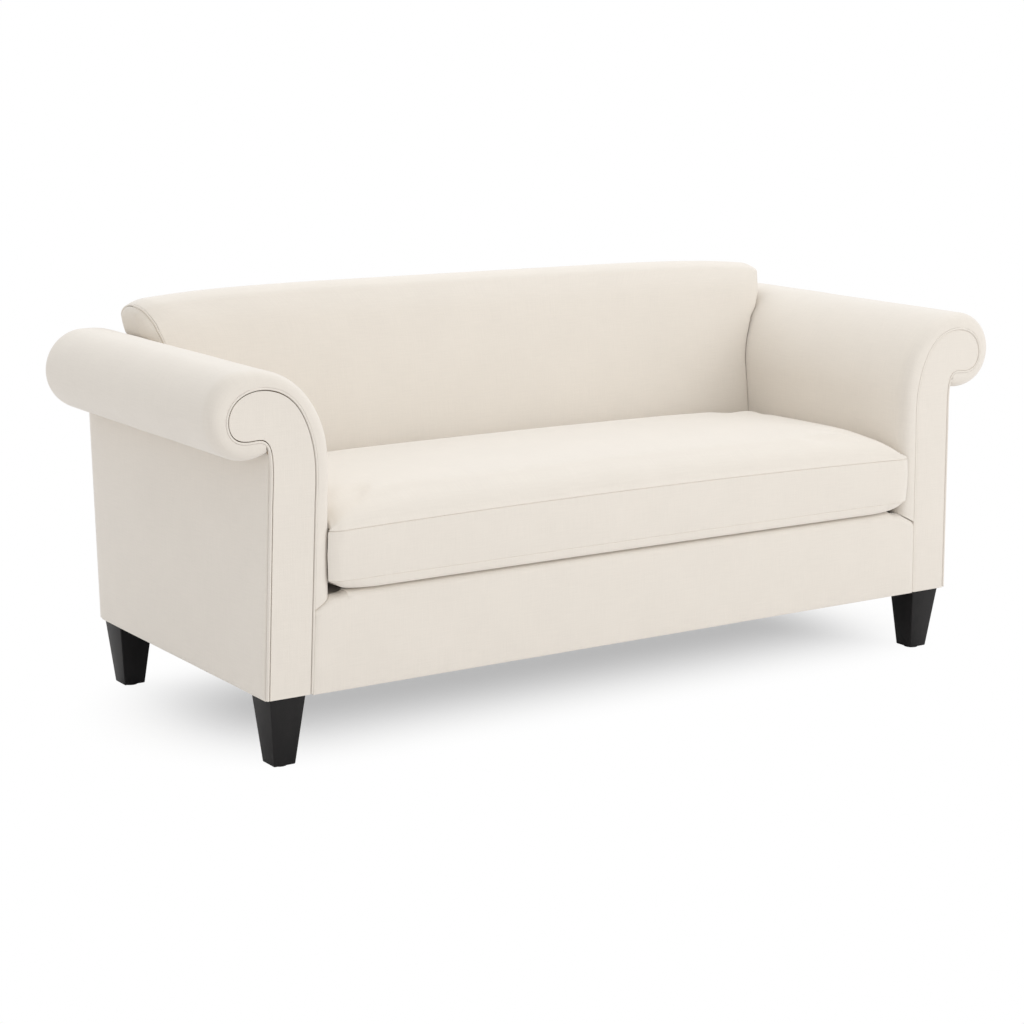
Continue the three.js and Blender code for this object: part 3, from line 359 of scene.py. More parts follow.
def unevenness(point, pitch, seed):
    return noise.noise(Vector(point) / pitch + Vector((seed, seed, seed)))


def border_stations():
    """Depth, how far the border has grown, and how far round its turn, front to rear."""
    stations = []
    for turn in steps_between(0, math.pi / 2, BORDER_STEPS):
        swell = BORDER_SWELL * math.sin(2 * turn) ** 2
        depth = BORDER * (1 - math.cos(turn)) - swell
        stations.append((depth, math.sin(turn), BORDER * turn, "front"))
    length = BODY_DEPTH - 2 * BORDER
    for share in steps_between(0, 1, LENGTH_STEPS)[1:-1]:
        along = BORDER * math.pi / 2 + length * share
        stations.append((BORDER + length * share, 1.0, along, "roll"))
    for turn in steps_between(math.pi / 2, 0, BORDER_STEPS):
        along = BORDER * math.pi + length - BORDER * turn
        depth = BODY_DEPTH - BORDER * (1 - math.cos(turn))
        stations.append((depth, math.sin(turn), along, "rear"))
    return stations


def rear_round_shares():
    place = (np.arange(len(full_rim)) - shoulder_start) / SHOULDER_STEPS
    return 1 - (1 - REAR_ROUND_SHARE) * np.sin(math.pi / 2 * np.clip(place, 0, 1))


def padded_arm(side, name):
    shares = rear_round_shares()
    outward = full_rim - lip_rim
    outward /= np.linalg.norm(outward, axis=1)[:, None]
    rings, along = [], []
    for depth, grown, run, place in border_stations():
        share = 1 - shares * (1 - grown) if place == "rear" else np.full(len(full_rim), grown)
        rim = lip_rim + (full_rim - lip_rim) * share[:, None]
        for i, point in enumerate(rim):
            place_in_cloth = (point[0] * side, depth, point[1])
            wave = unevenness(place_in_cloth, ARM_PITCH, ARM_SEED + side)
            rim[i] = point + outward[i] * wave * PAD_UNEVENNESS * share[i]
        ring = np.vstack([rim, seam_side_rim[::-1]])
        level = np.full(len(ring), FRONT_Y + depth)
        rings.append(np.column_stack([side * ring[:, 0], level, ring[:, 1]]))
        along.append(run)
    run = run_length(full_rim)
    across = np.concatenate([run, run[::-1]])
    return skin(name, rings, across, along)


def stand_for(piece, packed, body="frame", slot="upholstery_fabric"):
    """Hides the part a piece replaces, hangs it on the body it rides on, and gathers it among the
    covers when its slot is a cloth.
    """
    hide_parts(packed)
    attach(piece, body)
    if slot.endswith("_fabric"):
        covers.append(piece)


covers = []
ENDS = (("left", -1), ("right", 1))
for end, side in ENDS:
    stand_for(padded_arm(side, f"arm_upholstery_{end}"), f"arm_cover_{end}")
print("faces in one arm:", len(covers[0].data.polygons))

# %% [markdown]
# ## Piping
# A piping is a cord wrapped in a strip of the same cloth. The cord shows in the seam, and
# the strip's two edges run on behind it, where they are sewn in. Its section is pulled
# along the seam: half a circle in front, and a flat tail behind that closes the seam.

# %% Cords along a line
CORD_SIDES = 12
CORD_TAIL = 0.0055
TAIL_HALF = 0.9 * PIPING_RADIUS
CORD_ANGLE = math.radians(50)


def cord(name, path, into, tail=CORD_TAIL):
    """A piping along a path; into gives, for each point, the way into the seam."""
    path = np.asarray(path, float)
    into = np.broadcast_to(np.asarray(into, float), path.shape)
    along = np.gradient(path, axis=0)
    along /= np.linalg.norm(along, axis=1)[:, None]
    aside = np.cross(along, into)
    aside /= np.linalg.norm(aside, axis=1)[:, None]
    out = np.cross(along, aside)
    out *= -np.sign(np.sum(out * into, axis=1))[:, None]
    section = [*arc((0, 0), PIPING_RADIUS, 0, math.pi, CORD_SIDES),
               (-TAIL_HALF, -tail), (TAIL_HALF, -tail)]
    rings = [[at + s * a + t * o for s, t in section] for at, a, o in zip(path, aside, out)]
    return skin(name, rings, run_length(section), run_length(path), flat_cap, CORD_ANGLE)


def arm_piping(side, name):
    line = seam_line(0.0, UNDERSIDE + PIPING_RADIUS)
    depth = np.full(len(line), FRONT_Y + PIPING_RADIUS / 2)
    return cord(name, np.column_stack([side * line[:, 0], depth, line[:, 1]]), (0.0, 1.0, 0.0))


for end, side in ENDS:
    stand_for(arm_piping(side, f"front_piping_{end}"), f"arm_front_piping_{end}")
print("length of one piping:", round(float(run_length(seam_line(0.0, UNDERSIDE))[-1]), 3), "m")

# %% [markdown]
# ## Facings
# A facing is a thin padded board that fills the scroll. Its outline is filled with one
# face and pulled out to give it thickness. Four small insets, each a little further out,
# are meant to round its edge down into the seam. Two of the four pads come out otherwise:
# the left front one is drawn in by 1.8 mm all round and keeps a square edge, and the right
# rear one gets its insets on its hidden side, so that its face lies 1.8 mm deeper.

# %% Padded facings
FACING_THICKNESS = 0.010
PANEL_DROPS = {"front": 0.004, "rear": 0.012}
REAR_SEAM = 0.0005
FACING_ANGLE = math.radians(60)
FACING_FOOT = UNDERSIDE + 0.0003
EDGE_INSETS = ((0.0005, 0.0006), (0.0012, 0.0004), (0.004, 0.0004), (0.010, 0.0004))


def facing_outline(place):
    """A front facing leaves room for its piping; a rear one meets the cloth round it."""
    inner = seam_line(-SEAM_GAP, FACING_FOOT, place)
    if place == "front":
        return inner
    wide = seam_line(SEAM_GAP - REAR_SEAM, FACING_FOOT, place)
    return np.vstack([inner[:FOOT_STEPS + 1], wide[FOOT_STEPS + 1:]])


def facing(side, place, name):
    line = facing_outline(place)
    outward = -1 if place == "front" else 1
    back = FACING_THICKNESS if place == "front" else BODY_DEPTH - FACING_THICKNESS
    mesh = bpy.data.meshes.new(name)
    points = [(side * x, FRONT_Y + back, z) for x, z in line]
    mesh.from_pydata(points, [], [tuple(range(len(line)))])
    piece = bpy.data.objects.new(name, mesh)
    bpy.context.scene.collection.objects.link(piece)
    pick(piece)
    bpy.ops.object.mode_set(mode="EDIT")
    bpy.ops.mesh.select_all(action="SELECT")
    drop = sum(depth for _, depth in EDGE_INSETS)
    travel = outward * (FACING_THICKNESS - drop)
    bpy.ops.mesh.extrude_region_move(TRANSFORM_OT_translate={"value": (0, travel, 0)})
    bpy.ops.mesh.normals_make_consistent(inside=False)
    bpy.ops.object.mode_set(mode="OBJECT")
    front = max(piece.data.polygons, key=lambda f: f.area * (outward * f.normal.y > 0.9))
    for f in piece.data.polygons:
        f.select = f.index == front.index
    bpy.ops.object.mode_set(mode="EDIT")
    bpy.ops.mesh.select_mode(type="FACE")
    for thickness, depth in EDGE_INSETS:
        bpy.ops.mesh.inset(thickness=thickness, depth=depth)
    bpy.ops.object.mode_set(mode="OBJECT")
    layer = piece.data.uv_layers.new(name="cloth")
    for loop in piece.data.loops:
        at = piece.data.vertices[loop.vertex_index].co
        layer.data[loop.index].uv = (at.x, at.z)
    return smooth_closed(piece, FACING_ANGLE)


for end, side in ENDS:
    for place in ("front", "rear"):
        piece = facing(side, place, f"{place}_facing_pad_{end}")
        stand_for(piece, f"arm_{place}_facing_{end}")
        print("facing:", piece.name)

# %% [markdown]
# ## Flat covered panels
# The outsides of a sofa are flat panels of cloth over card and thin padding. Each is a
# grid for the outer face and one for the inner, joined round the rim. Grid lines crowd
# near the edges, where the face falls away in a small round.

# %% Padded panels
def crowded(low, high, count, edge, near=(0.12, 0.35, 0.65, 1.0)):
    """Places from low to high, with extra ones within an edge's width of each end."""
    close = [edge * share for share in near]
    middle = steps_between(low + edge, high - edge, count)[1:-1]
    return np.concatenate([[low], [low + c for c in close], middle,
                           [high - c for c in reversed(close)], [high]])


def edge_fall(place, low, high, edge):
    """1 in the middle of a panel, falling round to 0 at its two edges."""
    near = np.clip(np.minimum(place - low, high - place) / edge, 0, 1)
    return np.sqrt(near * (2 - near))


def cells(rows, columns):
    """The four corners of every cell of a grid, row by row."""
    for r in range(rows - 1):
        for c in range(columns - 1):
            yield (r, c), (r, c + 1), (r + 1, c + 1), (r + 1, c)


def round_rim(rows, columns):
    """The outer places of a grid, once round."""
    rim = [(0, c) for c in range(columns)] + [(r, columns - 1) for r in range(1, rows)]
    rim += [(rows - 1, c) for c in range(columns - 2, -1, -1)]
    return rim + [(r, 0) for r in range(rows - 2, 0, -1)]


def slab(name, outer, inner, across, along):
    """A closed panel between two grids of the same size."""
    outer, inner = np.asarray(outer, float), np.asarray(inner, float)
    rows, columns = outer.shape[:2]
    size = rows * columns
    faces, cloth = [], []
    for corners in cells(rows, columns):
        at = [r * columns + c for r, c in corners]
        where = [(across[c], along[r]) for r, c in corners]
        faces += [tuple(at), tuple(size + k for k in reversed(at))]
        cloth += where + where[::-1]
    rim = round_rim(rows, columns)
    for (r0, c0), (r1, c1) in zip(rim, rim[1:] + rim[:1]):
        a, b = r0 * columns + c0, r1 * columns + c1
        faces.append((a, size + a, size + b, b))
        cloth += [(across[c0], along[r0])] * 2 + [(across[c1], along[r1])] * 2
    points = np.concatenate([outer.reshape(-1, 3), inner.reshape(-1, 3)])
    return smooth_closed(mesh_piece(name, points, faces, cloth))


print("panel helpers ready")

# %% Outside arm panels
PANEL_THICKNESS = 0.008
PANEL_PROUD = 0.001
PANEL_SWELL = 0.0035
BOARD_FRONT = 0.0106
BOARD_BACK = 0.0286
REAR_CORNER = 0.016
NOTCH_RISE, NOTCH_SHARE = 0.018, 0.16     # the panel runs up into the hook at the front
PANEL_CELLS_Y, PANEL_CELLS_Z = 40, 24
PANEL_EDGE_SHARE, PANEL_ROUND_SHARE = 0.03, 0.06
PANEL_TURN_LEFT = 0.002    # thickness that stays where the panel turns the rear corner
PANEL_PITCH, PANEL_SEED = 0.16, 8.1


def panel_top(depth, share):
    """The panel's top edge: under the roll, and a little higher at the front and rear."""
    drop = PANEL_DROPS["front"] + (PANEL_DROPS["rear"] - PANEL_DROPS["front"]) * share
    behind = max(1 - (BODY_DEPTH - depth) / BORDER, 0)
    rise = NOTCH_RISE * max(1 - share / NOTCH_SHARE, 0) ** 1.5
    return hook[1] - drop - 0.0003 + rise + BORDER * (1 - math.sqrt(1 - behind * behind))


def outside_arm(side, name):
    depths = crowded(BOARD_FRONT, BODY_DEPTH - BOARD_FRONT, PANEL_CELLS_Y, REAR_CORNER)
    levels = crowded(0, 1, PANEL_CELLS_Z, PANEL_EDGE_SHARE)
    outer, inner = [], []
    for depth in depths:
        share = min(max((depth - BOARD_BACK) / (BODY_DEPTH - 2 * BOARD_BACK), 0), 1)
        soft = edge_fall(depth, BOARD_FRONT, BODY_DEPTH - BOARD_FRONT, REAR_CORNER)
        turned = (PANEL_THICKNESS - PANEL_TURN_LEFT) * (1 - soft) * (depth > BODY_DEPTH / 2)
        outer.append([])
        inner.append([])
        for level in levels:
            z = UNDERSIDE + (panel_top(depth, share) - UNDERSIDE) * level
            edge = outer_line_x(z, share) + PANEL_PROUD
            swell = PANEL_SWELL * soft * float(edge_fall(level, 0, 1, PANEL_ROUND_SHARE))
            wave = unevenness((side, depth, z), PANEL_PITCH, PANEL_SEED)
            wave = PAD_UNEVENNESS * wave * soft
            outer[-1].append((side * (edge - turned + swell + wave), FRONT_Y + depth, z))
            inner[-1].append((side * (edge - PANEL_THICKNESS), FRONT_Y + depth, z))
    return slab(name, outer, inner, levels * (hook[1] - UNDERSIDE), depths)


for end, side in ENDS:
    piece = outside_arm(side, f"outside_arm_cloth_{end}")
    stand_for(piece, f"outside_arm_panel_{end}")
    print("outside arm panel:", piece.name)

# %% [markdown]
# ## The front rail
# The rail below the cushion is padded over its top edge, and its ends dip to tuck in
# beside the arms. Rings across the sofa follow that dip.

# %% Front rail
RAIL_TOP = 0.369
RAIL_EDGE = 0.018
RAIL_THICKNESS = 0.0286
RAIL_CORNER_REACH = 0.034
RAIL_SWELL = 0.0025
RAIL_GAP = 0.0006          # what stays free between the rail's cloth and the arms
RAIL_CELLS, RAIL_CORNER_STEPS, RAIL_END_STEPS, RAIL_FACE_STEPS = 48, 10, 6, 12
RAIL_FACE_EDGE = 0.01
RAIL_PITCH, RAIL_SEED = 0.15, 5.3


def rail_tops():
    half = INSIDE_ARM - RAIL_GAP
    dip = ARM_FOOT_INSIDE - RAIL_GAP
    low = arm_foot_at(inner_line_x(ARM_FOOT_SEAM)) - RAIL_GAP
    straight = steps_between(0, half - RAIL_CORNER_REACH, RAIL_CELLS)
    places = [(x, RAIL_TOP) for x in straight[:-1]]
    for turn in steps_between(math.pi / 2, 0, RAIL_CORNER_STEPS):
        places.append((half - RAIL_CORNER_REACH * math.sin(turn),
                       RAIL_TOP - (RAIL_TOP - dip) * math.cos(turn)))
    for share in steps_between(0, 1, RAIL_END_STEPS)[1:]:
        places.append((half + (inner_foot_x - half) * share, dip + (low - dip) * share))
    return [(-x, top) for x, top in reversed(places[1:])] + places


def rail_section(top):
    levels = crowded(UNDERSIDE, top - RAIL_EDGE, RAIL_FACE_STEPS, RAIL_FACE_EDGE)
    face = [(0.0, z) for z in levels]
    edge = arc((RAIL_EDGE, top - RAIL_EDGE), RAIL_EDGE, math.pi, math.pi / 2,
               RAIL_CORNER_STEPS)[1:]
    return np.vstack([face, edge, [(RAIL_THICKNESS, top), (RAIL_THICKNESS, UNDERSIDE)]])


def front_rail(name):
    rings, along = [], []
    for x, top in rail_tops():
        ring = []
        for depth, z in rail_section(top):
            limit = inner_line_x(z) - SEAM_GAP
            swell = RAIL_SWELL * float(edge_fall(min(z, top), UNDERSIDE, top + 0.05, 0.08))
            swell += PAD_UNEVENNESS * unevenness((x, 0, z), RAIL_PITCH, RAIL_SEED)
            swell *= float(edge_fall(abs(x), -2.0, limit, 0.02))
            proud = swell if depth < RAIL_EDGE / 2 else 0.0
            ring.append((math.copysign(min(abs(x), limit), x), FRONT_Y + depth - proud, z))
        rings.append(ring)
        along.append(x)
    return skin(name, rings, run_length(rail_section(RAIL_TOP)), along, flat_cap)


rail = front_rail("front_rail_cloth")
stand_for(rail, "front_rail_cover")
print("front rail faces:", len(rail.data.polygons))

# %% [markdown]
# ## The back
# The back is a curved pad that rolls over at the top and rounds away at both ends like a
# bolster. Its section, seen from the side, goes up the front, over the roll and into the
# tuck behind; each point also knows how far it draws in as the end turns away.

# %% Section of the back
BACK_LOW = 0.3724
ROLL_Z = 0.840             # foremost point of the rolled top
ROLL_FRONT, ROLL_MIDDLE, ROLL_REAR = 0.644, 0.722, 0.800
END_Z, REAR_Z = 0.912, 0.865
TUCK_DEPTH, TUCK_Z = 0.783, 0.824
BACK_HALF = 0.918
SEAM_TURN = math.radians(45)
FACE_CURVE = np.array(((0.577, BACK_LOW), (0.577, BACK_LOW + 0.147),
                       (0.612, ROLL_Z - 0.120), (ROLL_FRONT, ROLL_Z)))
FACE_STEPS, QUARTER_STEPS, TUCK_STEPS = 60, 14, 6
JOIN_POINTS, JOIN_PASSES = 9, 30          # the face flows into the roll without a crease
FRONT_ROUND, TOP_ROUND, REAR_ROUND = (0.096, 0.150), (0.050, 0.048), (0.022, 0.026)
SEAM_INSETS = (0.009, 0.0105, 0.0064)     # how far the seam lies in, on the face, top and rear
FRONT_DRAW = ((0.815, 0.850), (0.013, 0.0))         # the ends draw in towards their foot
REAR_DRAW = ((0.835, 0.870, 0.905), (0.016, 0.009, 0.002))
FRAME_FACE, PAD_TOP, PAD_REAR = (0.700, 0.6895), 0.871, 0.779
END_EDGE, END_EDGE_FROM, END_EDGE_FULL = 0.008, 0.700, 0.790
END_FACING_LOW = 0.750


def face_curve():
    t = steps_between(0, 1, FACE_STEPS)[:, None]
    shares = (1 - t) ** 3, 3 * (1 - t) ** 2 * t, 3 * (1 - t) * t ** 2, t ** 3
    return sum(share * point for share, point in zip(shares, FACE_CURVE))


def back_line():
    """The outer line of the back: up the face, over the roll and down into the tuck."""
    front = arc((ROLL_MIDDLE, ROLL_Z), (ROLL_MIDDLE - ROLL_FRONT, END_Z - ROLL_Z),
                math.pi, math.pi / 2, QUARTER_STEPS)
    rear = arc((ROLL_MIDDLE, REAR_Z), (ROLL_REAR - ROLL_MIDDLE, END_Z - REAR_Z),
               math.pi / 2, 0, QUARTER_STEPS)[1:]
    tuck = arc((TUCK_DEPTH, REAR_Z), (ROLL_REAR - TUCK_DEPTH, REAR_Z - TUCK_Z),
               0, -math.pi / 2, TUCK_STEPS)[1:]
    line = np.vstack([face_curve()[:-1], front, rear, tuck])
    near = slice(FACE_STEPS - JOIN_POINTS, FACE_STEPS + JOIN_POINTS)
    before, after = (slice(near.start + k, near.stop + k) for k in (-1, 1))
    sharp = line.copy()
    for _ in range(JOIN_PASSES):
        line[near] = 0.5 * line[near] + 0.25 * (line[before] + line[after])
    return sharp, line


def back_section():
    """The outer line, the pad behind it, and how each point's end rounds and draws in."""
    sharp, line = back_line()
    face_z = sharp[:FACE_STEPS, 1]
    up = (face_z - BACK_LOW) / (ROLL_Z - BACK_LOW)
    face_pad = np.column_stack([FRAME_FACE[0] + (FRAME_FACE[1] - FRAME_FACE[0]) * up, face_z])
    place = steps_between(0, 1, 2 * QUARTER_STEPS)
    across = np.interp(place, [0, 0.2, 0.9, 1], [0, 0, 1, 1])
    up = np.interp(place, [0, 0.2, 0.9, 1], [0, 1, 1, 0.8])
    roll_pad = np.column_stack([FRAME_FACE[1] + (PAD_REAR - FRAME_FACE[1]) * across,
                                ROLL_Z + (PAD_TOP - ROLL_Z) * up])
    tuck_z = TUCK_Z + (REAR_Z - TUCK_Z) * np.linspace(0.6, 0.0, TUCK_STEPS)
    tuck_pad = np.column_stack([np.full(TUCK_STEPS, PAD_REAR), tuck_z])
    top = np.sin(math.pi * place)[:, None] ** 2
    ends = np.where((place > 0.5)[:, None], REAR_ROUND, FRONT_ROUND)
    rounds = np.vstack([np.tile(FRONT_ROUND, (FACE_STEPS, 1)),
                        ends + (np.array(TOP_ROUND) - ends) * top,
                        np.tile(REAR_ROUND, (TUCK_STEPS, 1))])
    insets = np.concatenate([np.full(FACE_STEPS, SEAM_INSETS[0]),
                             np.interp(place, [0, 0.5, 1], SEAM_INSETS),
                             np.full(TUCK_STEPS, SEAM_INSETS[2])])
    in_front = np.arange(len(line)) <= FACE_STEPS + QUARTER_STEPS
    draw = np.where(in_front, np.interp(sharp[:, 1], *FRONT_DRAW),
                    np.interp(sharp[:, 1], *REAR_DRAW))
    return line, np.vstack([face_pad, roll_pad, tuck_pad]), rounds, insets, BACK_HALF - draw


section, pad_section, end_rounds, seam_insets, end_halves = back_section()
crest = FACE_STEPS + QUARTER_STEPS
facing_start = int(np.argmax(section[:, 1] > END_FACING_LOW))
ways = np.vstack([section[1] - section[0], section[2:] - section[:-2], section[-1] - section[-2]])
ways /= np.linalg.norm(ways, axis=1)[:, None]
inward = np.column_stack([ways[:, 1], -ways[:, 0]])
print("points in the back's section:", len(section))

# %% [markdown]
# The ends of the back stay just clear of the arms' shoulders, so a limit for every height
# comes from the arm's own outline. The top bows up by 19 mm in the middle. The front face
# gets a soft unevenness, a millimetre or so, as cotton over springs has.

# %% Inside back
ARCH, ARCH_REACH, ARCH_POWER = 0.019, 0.890, 5.5
SHOULDER_CLEARANCE, SIDE_CLEARANCE = 0.0030, 0.0015
BACK_UNEVENNESS = 0.0016
BACK_PITCH, BACK_SEED = 0.2, 1.3
BACK_STATIONS, TURN_STEPS = 44, 16
ARM_BLEND = 0.016          # the end turns down beside the arm over this much
arm_heights = full_rim[shoulder_start:][::-1]


def soft_least(a, b):
    """The smaller of two values, blended where they are close."""
    near = np.clip(1 - np.abs(a - b) / ARM_BLEND, 0, 1)
    return np.minimum(a, b) - near ** 2 * ARM_BLEND / 4


def beside_arm(z):
    x = np.interp(z, arm_heights[:, 1], arm_heights[:, 0])
    return x - np.where(z > shoulder[1], SHOULDER_CLEARANCE, SIDE_CLEARANCE)


def turned_rim(turn, extra=0.0):
    away, seam_away = 1 - math.cos(turn), 1 - math.cos(SEAM_TURN)
    to_seam, beyond = min(away / seam_away, 1), max(away - seam_away, 0) / (1 - seam_away)
    inset = seam_insets * to_seam + (end_rounds[:, 0] - seam_insets) * beyond + extra
    return end_halves - end_rounds[:, 1] * (1 - math.sin(turn)), section + inward * inset[:, None]


def arch_rise(x, z):
    rise = ARCH * (1 - np.minimum(x / ARCH_REACH, 1) ** ARCH_POWER)
    return np.maximum(rise * (z - ROLL_Z) / (END_Z - ROLL_Z), 0)


def piping_gap(z):
    """The gap for the end piping grows smoothly with height."""
    return END_EDGE * smooth_step(z, END_EDGE_FROM, END_EDGE_FULL)


def back_ring(part, turn):
    side, part = (-1 if part < 0 else 1), abs(part)
    reach, at = turned_rim(turn)
    gap = piping_gap(section[:, 1])
    near_seam = np.clip((turn / SEAM_TURN - 0.72) / 0.1, 0, 1)
    x = soft_least(reach, beside_arm(at[:, 1]) - near_seam * gap) * part
    index = np.arange(len(section))
    soft = np.clip((index - 2) / 10, 0, 1)
    soft *= np.clip((len(section) - TUCK_STEPS - index) / 12, 0, 1)
    waves = np.array([unevenness((side * a, b, c), BACK_PITCH, BACK_SEED)
                      for a, (b, c) in zip(x, at)])
    depth = at[:, 0] + BACK_UNEVENNESS * waves * soft * (part if turn == 0 else 1)
    outer = np.column_stack([side * x, FRONT_Y + depth, at[:, 1] + arch_rise(x, at[:, 1])])
    pad_x = np.minimum(reach[0], beside_arm(pad_section[:, 1]) - gap) * part
    pad = np.column_stack([side * pad_x, FRONT_Y + pad_section[:, 0], pad_section[:, 1]])
    return np.vstack([outer, pad[::-1]])


def inside_back(name):
    parts = steps_between(0, 1, BACK_STATIONS)
    turns = steps_between(0, SEAM_TURN, TURN_STEPS)[1:]
    rings = [back_ring(-1, turn) for turn in turns[::-1]]
    rings += [back_ring(-part, 0) for part in parts[:0:-1]]
    rings += [back_ring(part, 0) for part in parts]
    rings += [back_ring(1, turn) for turn in turns]
    run = run_length([ring[FACE_STEPS] for ring in rings])
    rise = run_length(section)
    across = np.concatenate([rise, rise[::-1]])
    return skin(name, rings, across, run - run[-1] / 2)


back = inside_back("inside_back_pad")
stand_for(back, "inside_back_cover")
print("inside back faces:", len(back.data.polygons))

# %% [markdown]
# Each end of the back is closed by a small domed facing that goes on round the end from
# the seam, with a piping in the seam. It is made row by row up the end, one ring for each
# step of the turn.

# %% Ends of the back
FACING_TURNS = [math.radians(a) for a in (45, 48, 52, 57, 62, 67, 72, 77, 81, 84)]
END_GAP, END_LIFT, END_CLOSER = 0.0012, 0.0012, 0.0018
END_SMOOTHING = 12
END_TAIL = 0.004
TUCK_SHOWN = 2             # points of the tuck that the piping leaves out


def end_facing_ring(side, turn):
    seam_at = turned_rim(SEAM_TURN, 2 * SEAM_GAP)[1]
    reach, at = turned_rim(turn)
    deeper = np.linalg.norm(at - section, axis=1) > np.linalg.norm(seam_at - section, axis=1)
    at = np.where(deeper[:, None], at, seam_at)
    rows = slice(facing_start, crest + 1)
    z = np.minimum(at[rows, 1], at[crest, 1] - 0.0001)
    limit = beside_arm(z) + (-piping_gap(z) / 2 if turn == SEAM_TURN else END_CLOSER)
    rear_half = BACK_HALF - np.interp(z, *REAR_DRAW) + END_GAP
    front_x = np.minimum(soft_least(reach[rows] + END_GAP, limit), rear_half)
    rear_x = np.minimum(rear_half - REAR_ROUND[1] * (1 - math.sin(turn)), limit)
    behind = at[crest:][::-1]
    rear = np.maximum(np.interp(z, behind[:, 1], behind[:, 0]), at[rows, 0] + SEAM_GAP)
    front_line = np.column_stack([side * front_x, FRONT_Y + at[rows, 0], z])
    rear_line = np.column_stack([side * rear_x, FRONT_Y + rear, z])
    return np.vstack([front_line, rear_line[::-1]])


def end_piping_path(side):
    reach, at = turned_rim(SEAM_TURN, SEAM_GAP)
    x = soft_least(reach, beside_arm(at[:, 1]) - piping_gap(section[:, 1])) + END_LIFT
    path = np.column_stack([side * x, FRONT_Y + at[:, 0], at[:, 1]])
    middle = np.array([side * (reach.min() - 0.10), FRONT_Y + ROLL_MIDDLE, ROLL_Z])
    into = middle - path
    into[:, 0] *= 0.5
    into /= np.linalg.norm(into, axis=1)[:, None]
    shown = slice(facing_start, len(path) - TUCK_SHOWN)
    return path[shown], into[shown]


for end, side in ENDS:
    rings = [end_facing_ring(side, turn) for turn in FACING_TURNS]
    run = run_length([ring[len(ring) // 4] for ring in rings])
    half = run_length(rings[0][: len(rings[0]) // 2])
    piece = skin(f"back_end_pad_{end}", rings, np.concatenate([half, half[::-1]]), run)
    group = piece.vertex_groups.new(name="dome")
    group.add(list(range(2 * len(rings[0]), len(piece.data.vertices))), 1.0, "REPLACE")
    soften = piece.modifiers.new("soften", "SMOOTH")
    soften.factor, soften.iterations, soften.vertex_group = 0.5, END_SMOOTHING, "dome"
    pick(piece)
    bpy.ops.object.modifier_apply(modifier=soften.name)
    stand_for(piece, f"back_end_facing_{end}")
    trim = cord(f"back_end_trim_{end}", *end_piping_path(side), tail=END_TAIL)
    stand_for(trim, f"back_end_piping_{end}")
    print("back end:", piece.name, trim.name)

# %% [markdown]
# The outside back is one wide panel that leans in slightly towards the top. Under the
# padded arms it widens to meet the rear facings.

# %% Outside back
BACK_TOP_DEPTH = 0.788
BACK_PANEL_TOP = TUCK_Z - 0.0003
BACK_PANEL_THICKNESS = 0.008
BACK_PANEL_SWELL = 0.004
BACK_PANEL_EDGE, BACK_PANEL_ROUND = 0.012, 0.014
BACK_EDGE_DROP = 0.003
BACK_CELLS_X, BACK_CELLS_Z = 64, 40
REAR_PITCH, REAR_SEED = 0.18, 2.2
FOOT_BELOW = ARM_FOOT_SEAM - 0.0006        # just under the padded arms


def back_half_at(z):
    if z <= FOOT_BELOW:
        return inner_line_x(z) - SEAM_GAP
    narrow = min(float(beside_arm(max(z, ARM_FOOT_INSIDE))), BACK_HALF)
    share = min((z - ARM_FOOT_SEAM) / (ARM_FOOT_INSIDE - ARM_FOOT_SEAM), 1)
    wide = inner_line_x(ARM_FOOT_SEAM) - SEAM_GAP
    return wide + (narrow - wide) * max(share, 0)


def outside_back(name):
    levels = crowded(UNDERSIDE, BACK_PANEL_TOP, BACK_CELLS_Z, BACK_PANEL_EDGE)
    levels = np.unique([*levels, FOOT_BELOW, ARM_FOOT_SEAM, ARM_FOOT_INSIDE])
    shares = crowded(-1, 1, BACK_CELLS_X, BACK_PANEL_EDGE)
    outer, inner = [], []
    for z in levels:
        up = (z - UNDERSIDE) / (BACK_PANEL_TOP - UNDERSIDE)
        flat = BODY_DEPTH + (BACK_TOP_DEPTH - BODY_DEPTH) * up
        half = back_half_at(z)
        fall = float(edge_fall(z, UNDERSIDE, BACK_PANEL_TOP, BACK_PANEL_ROUND))
        behind = FRONT_Y + flat - BACK_PANEL_THICKNESS
        inner.append([(share * half, behind, z) for share in shares])
        outer.append([])
        for share in shares:
            soft = fall * float(edge_fall(share, -1, 1, BACK_PANEL_ROUND))
            swell = BACK_PANEL_SWELL * (1 - share ** 6) * math.sin(math.pi * up)
            swell += PAD_UNEVENNESS * unevenness((share, 1, z), REAR_PITCH, REAR_SEED)
            y = FRONT_Y + flat - BACK_EDGE_DROP * (1 - soft) + swell * soft
            outer[-1].append((share * half, y, z))
    return slab(name, outer, inner, shares * BACK_HALF, levels)


piece = outside_back("outside_back_cloth")
stand_for(piece, "outside_back_panel")
print("outside back faces:", len(piece.data.polygons))

# %% [markdown]
# ## The seat cushion
# One long bench cushion: two panels sewn to a band, with a crown that rises from every
# edge. Its front corners swell round the arms. The top and bottom are grids mapped into
# the rounded plan, so no seam or pole shows in the middle of the seat.

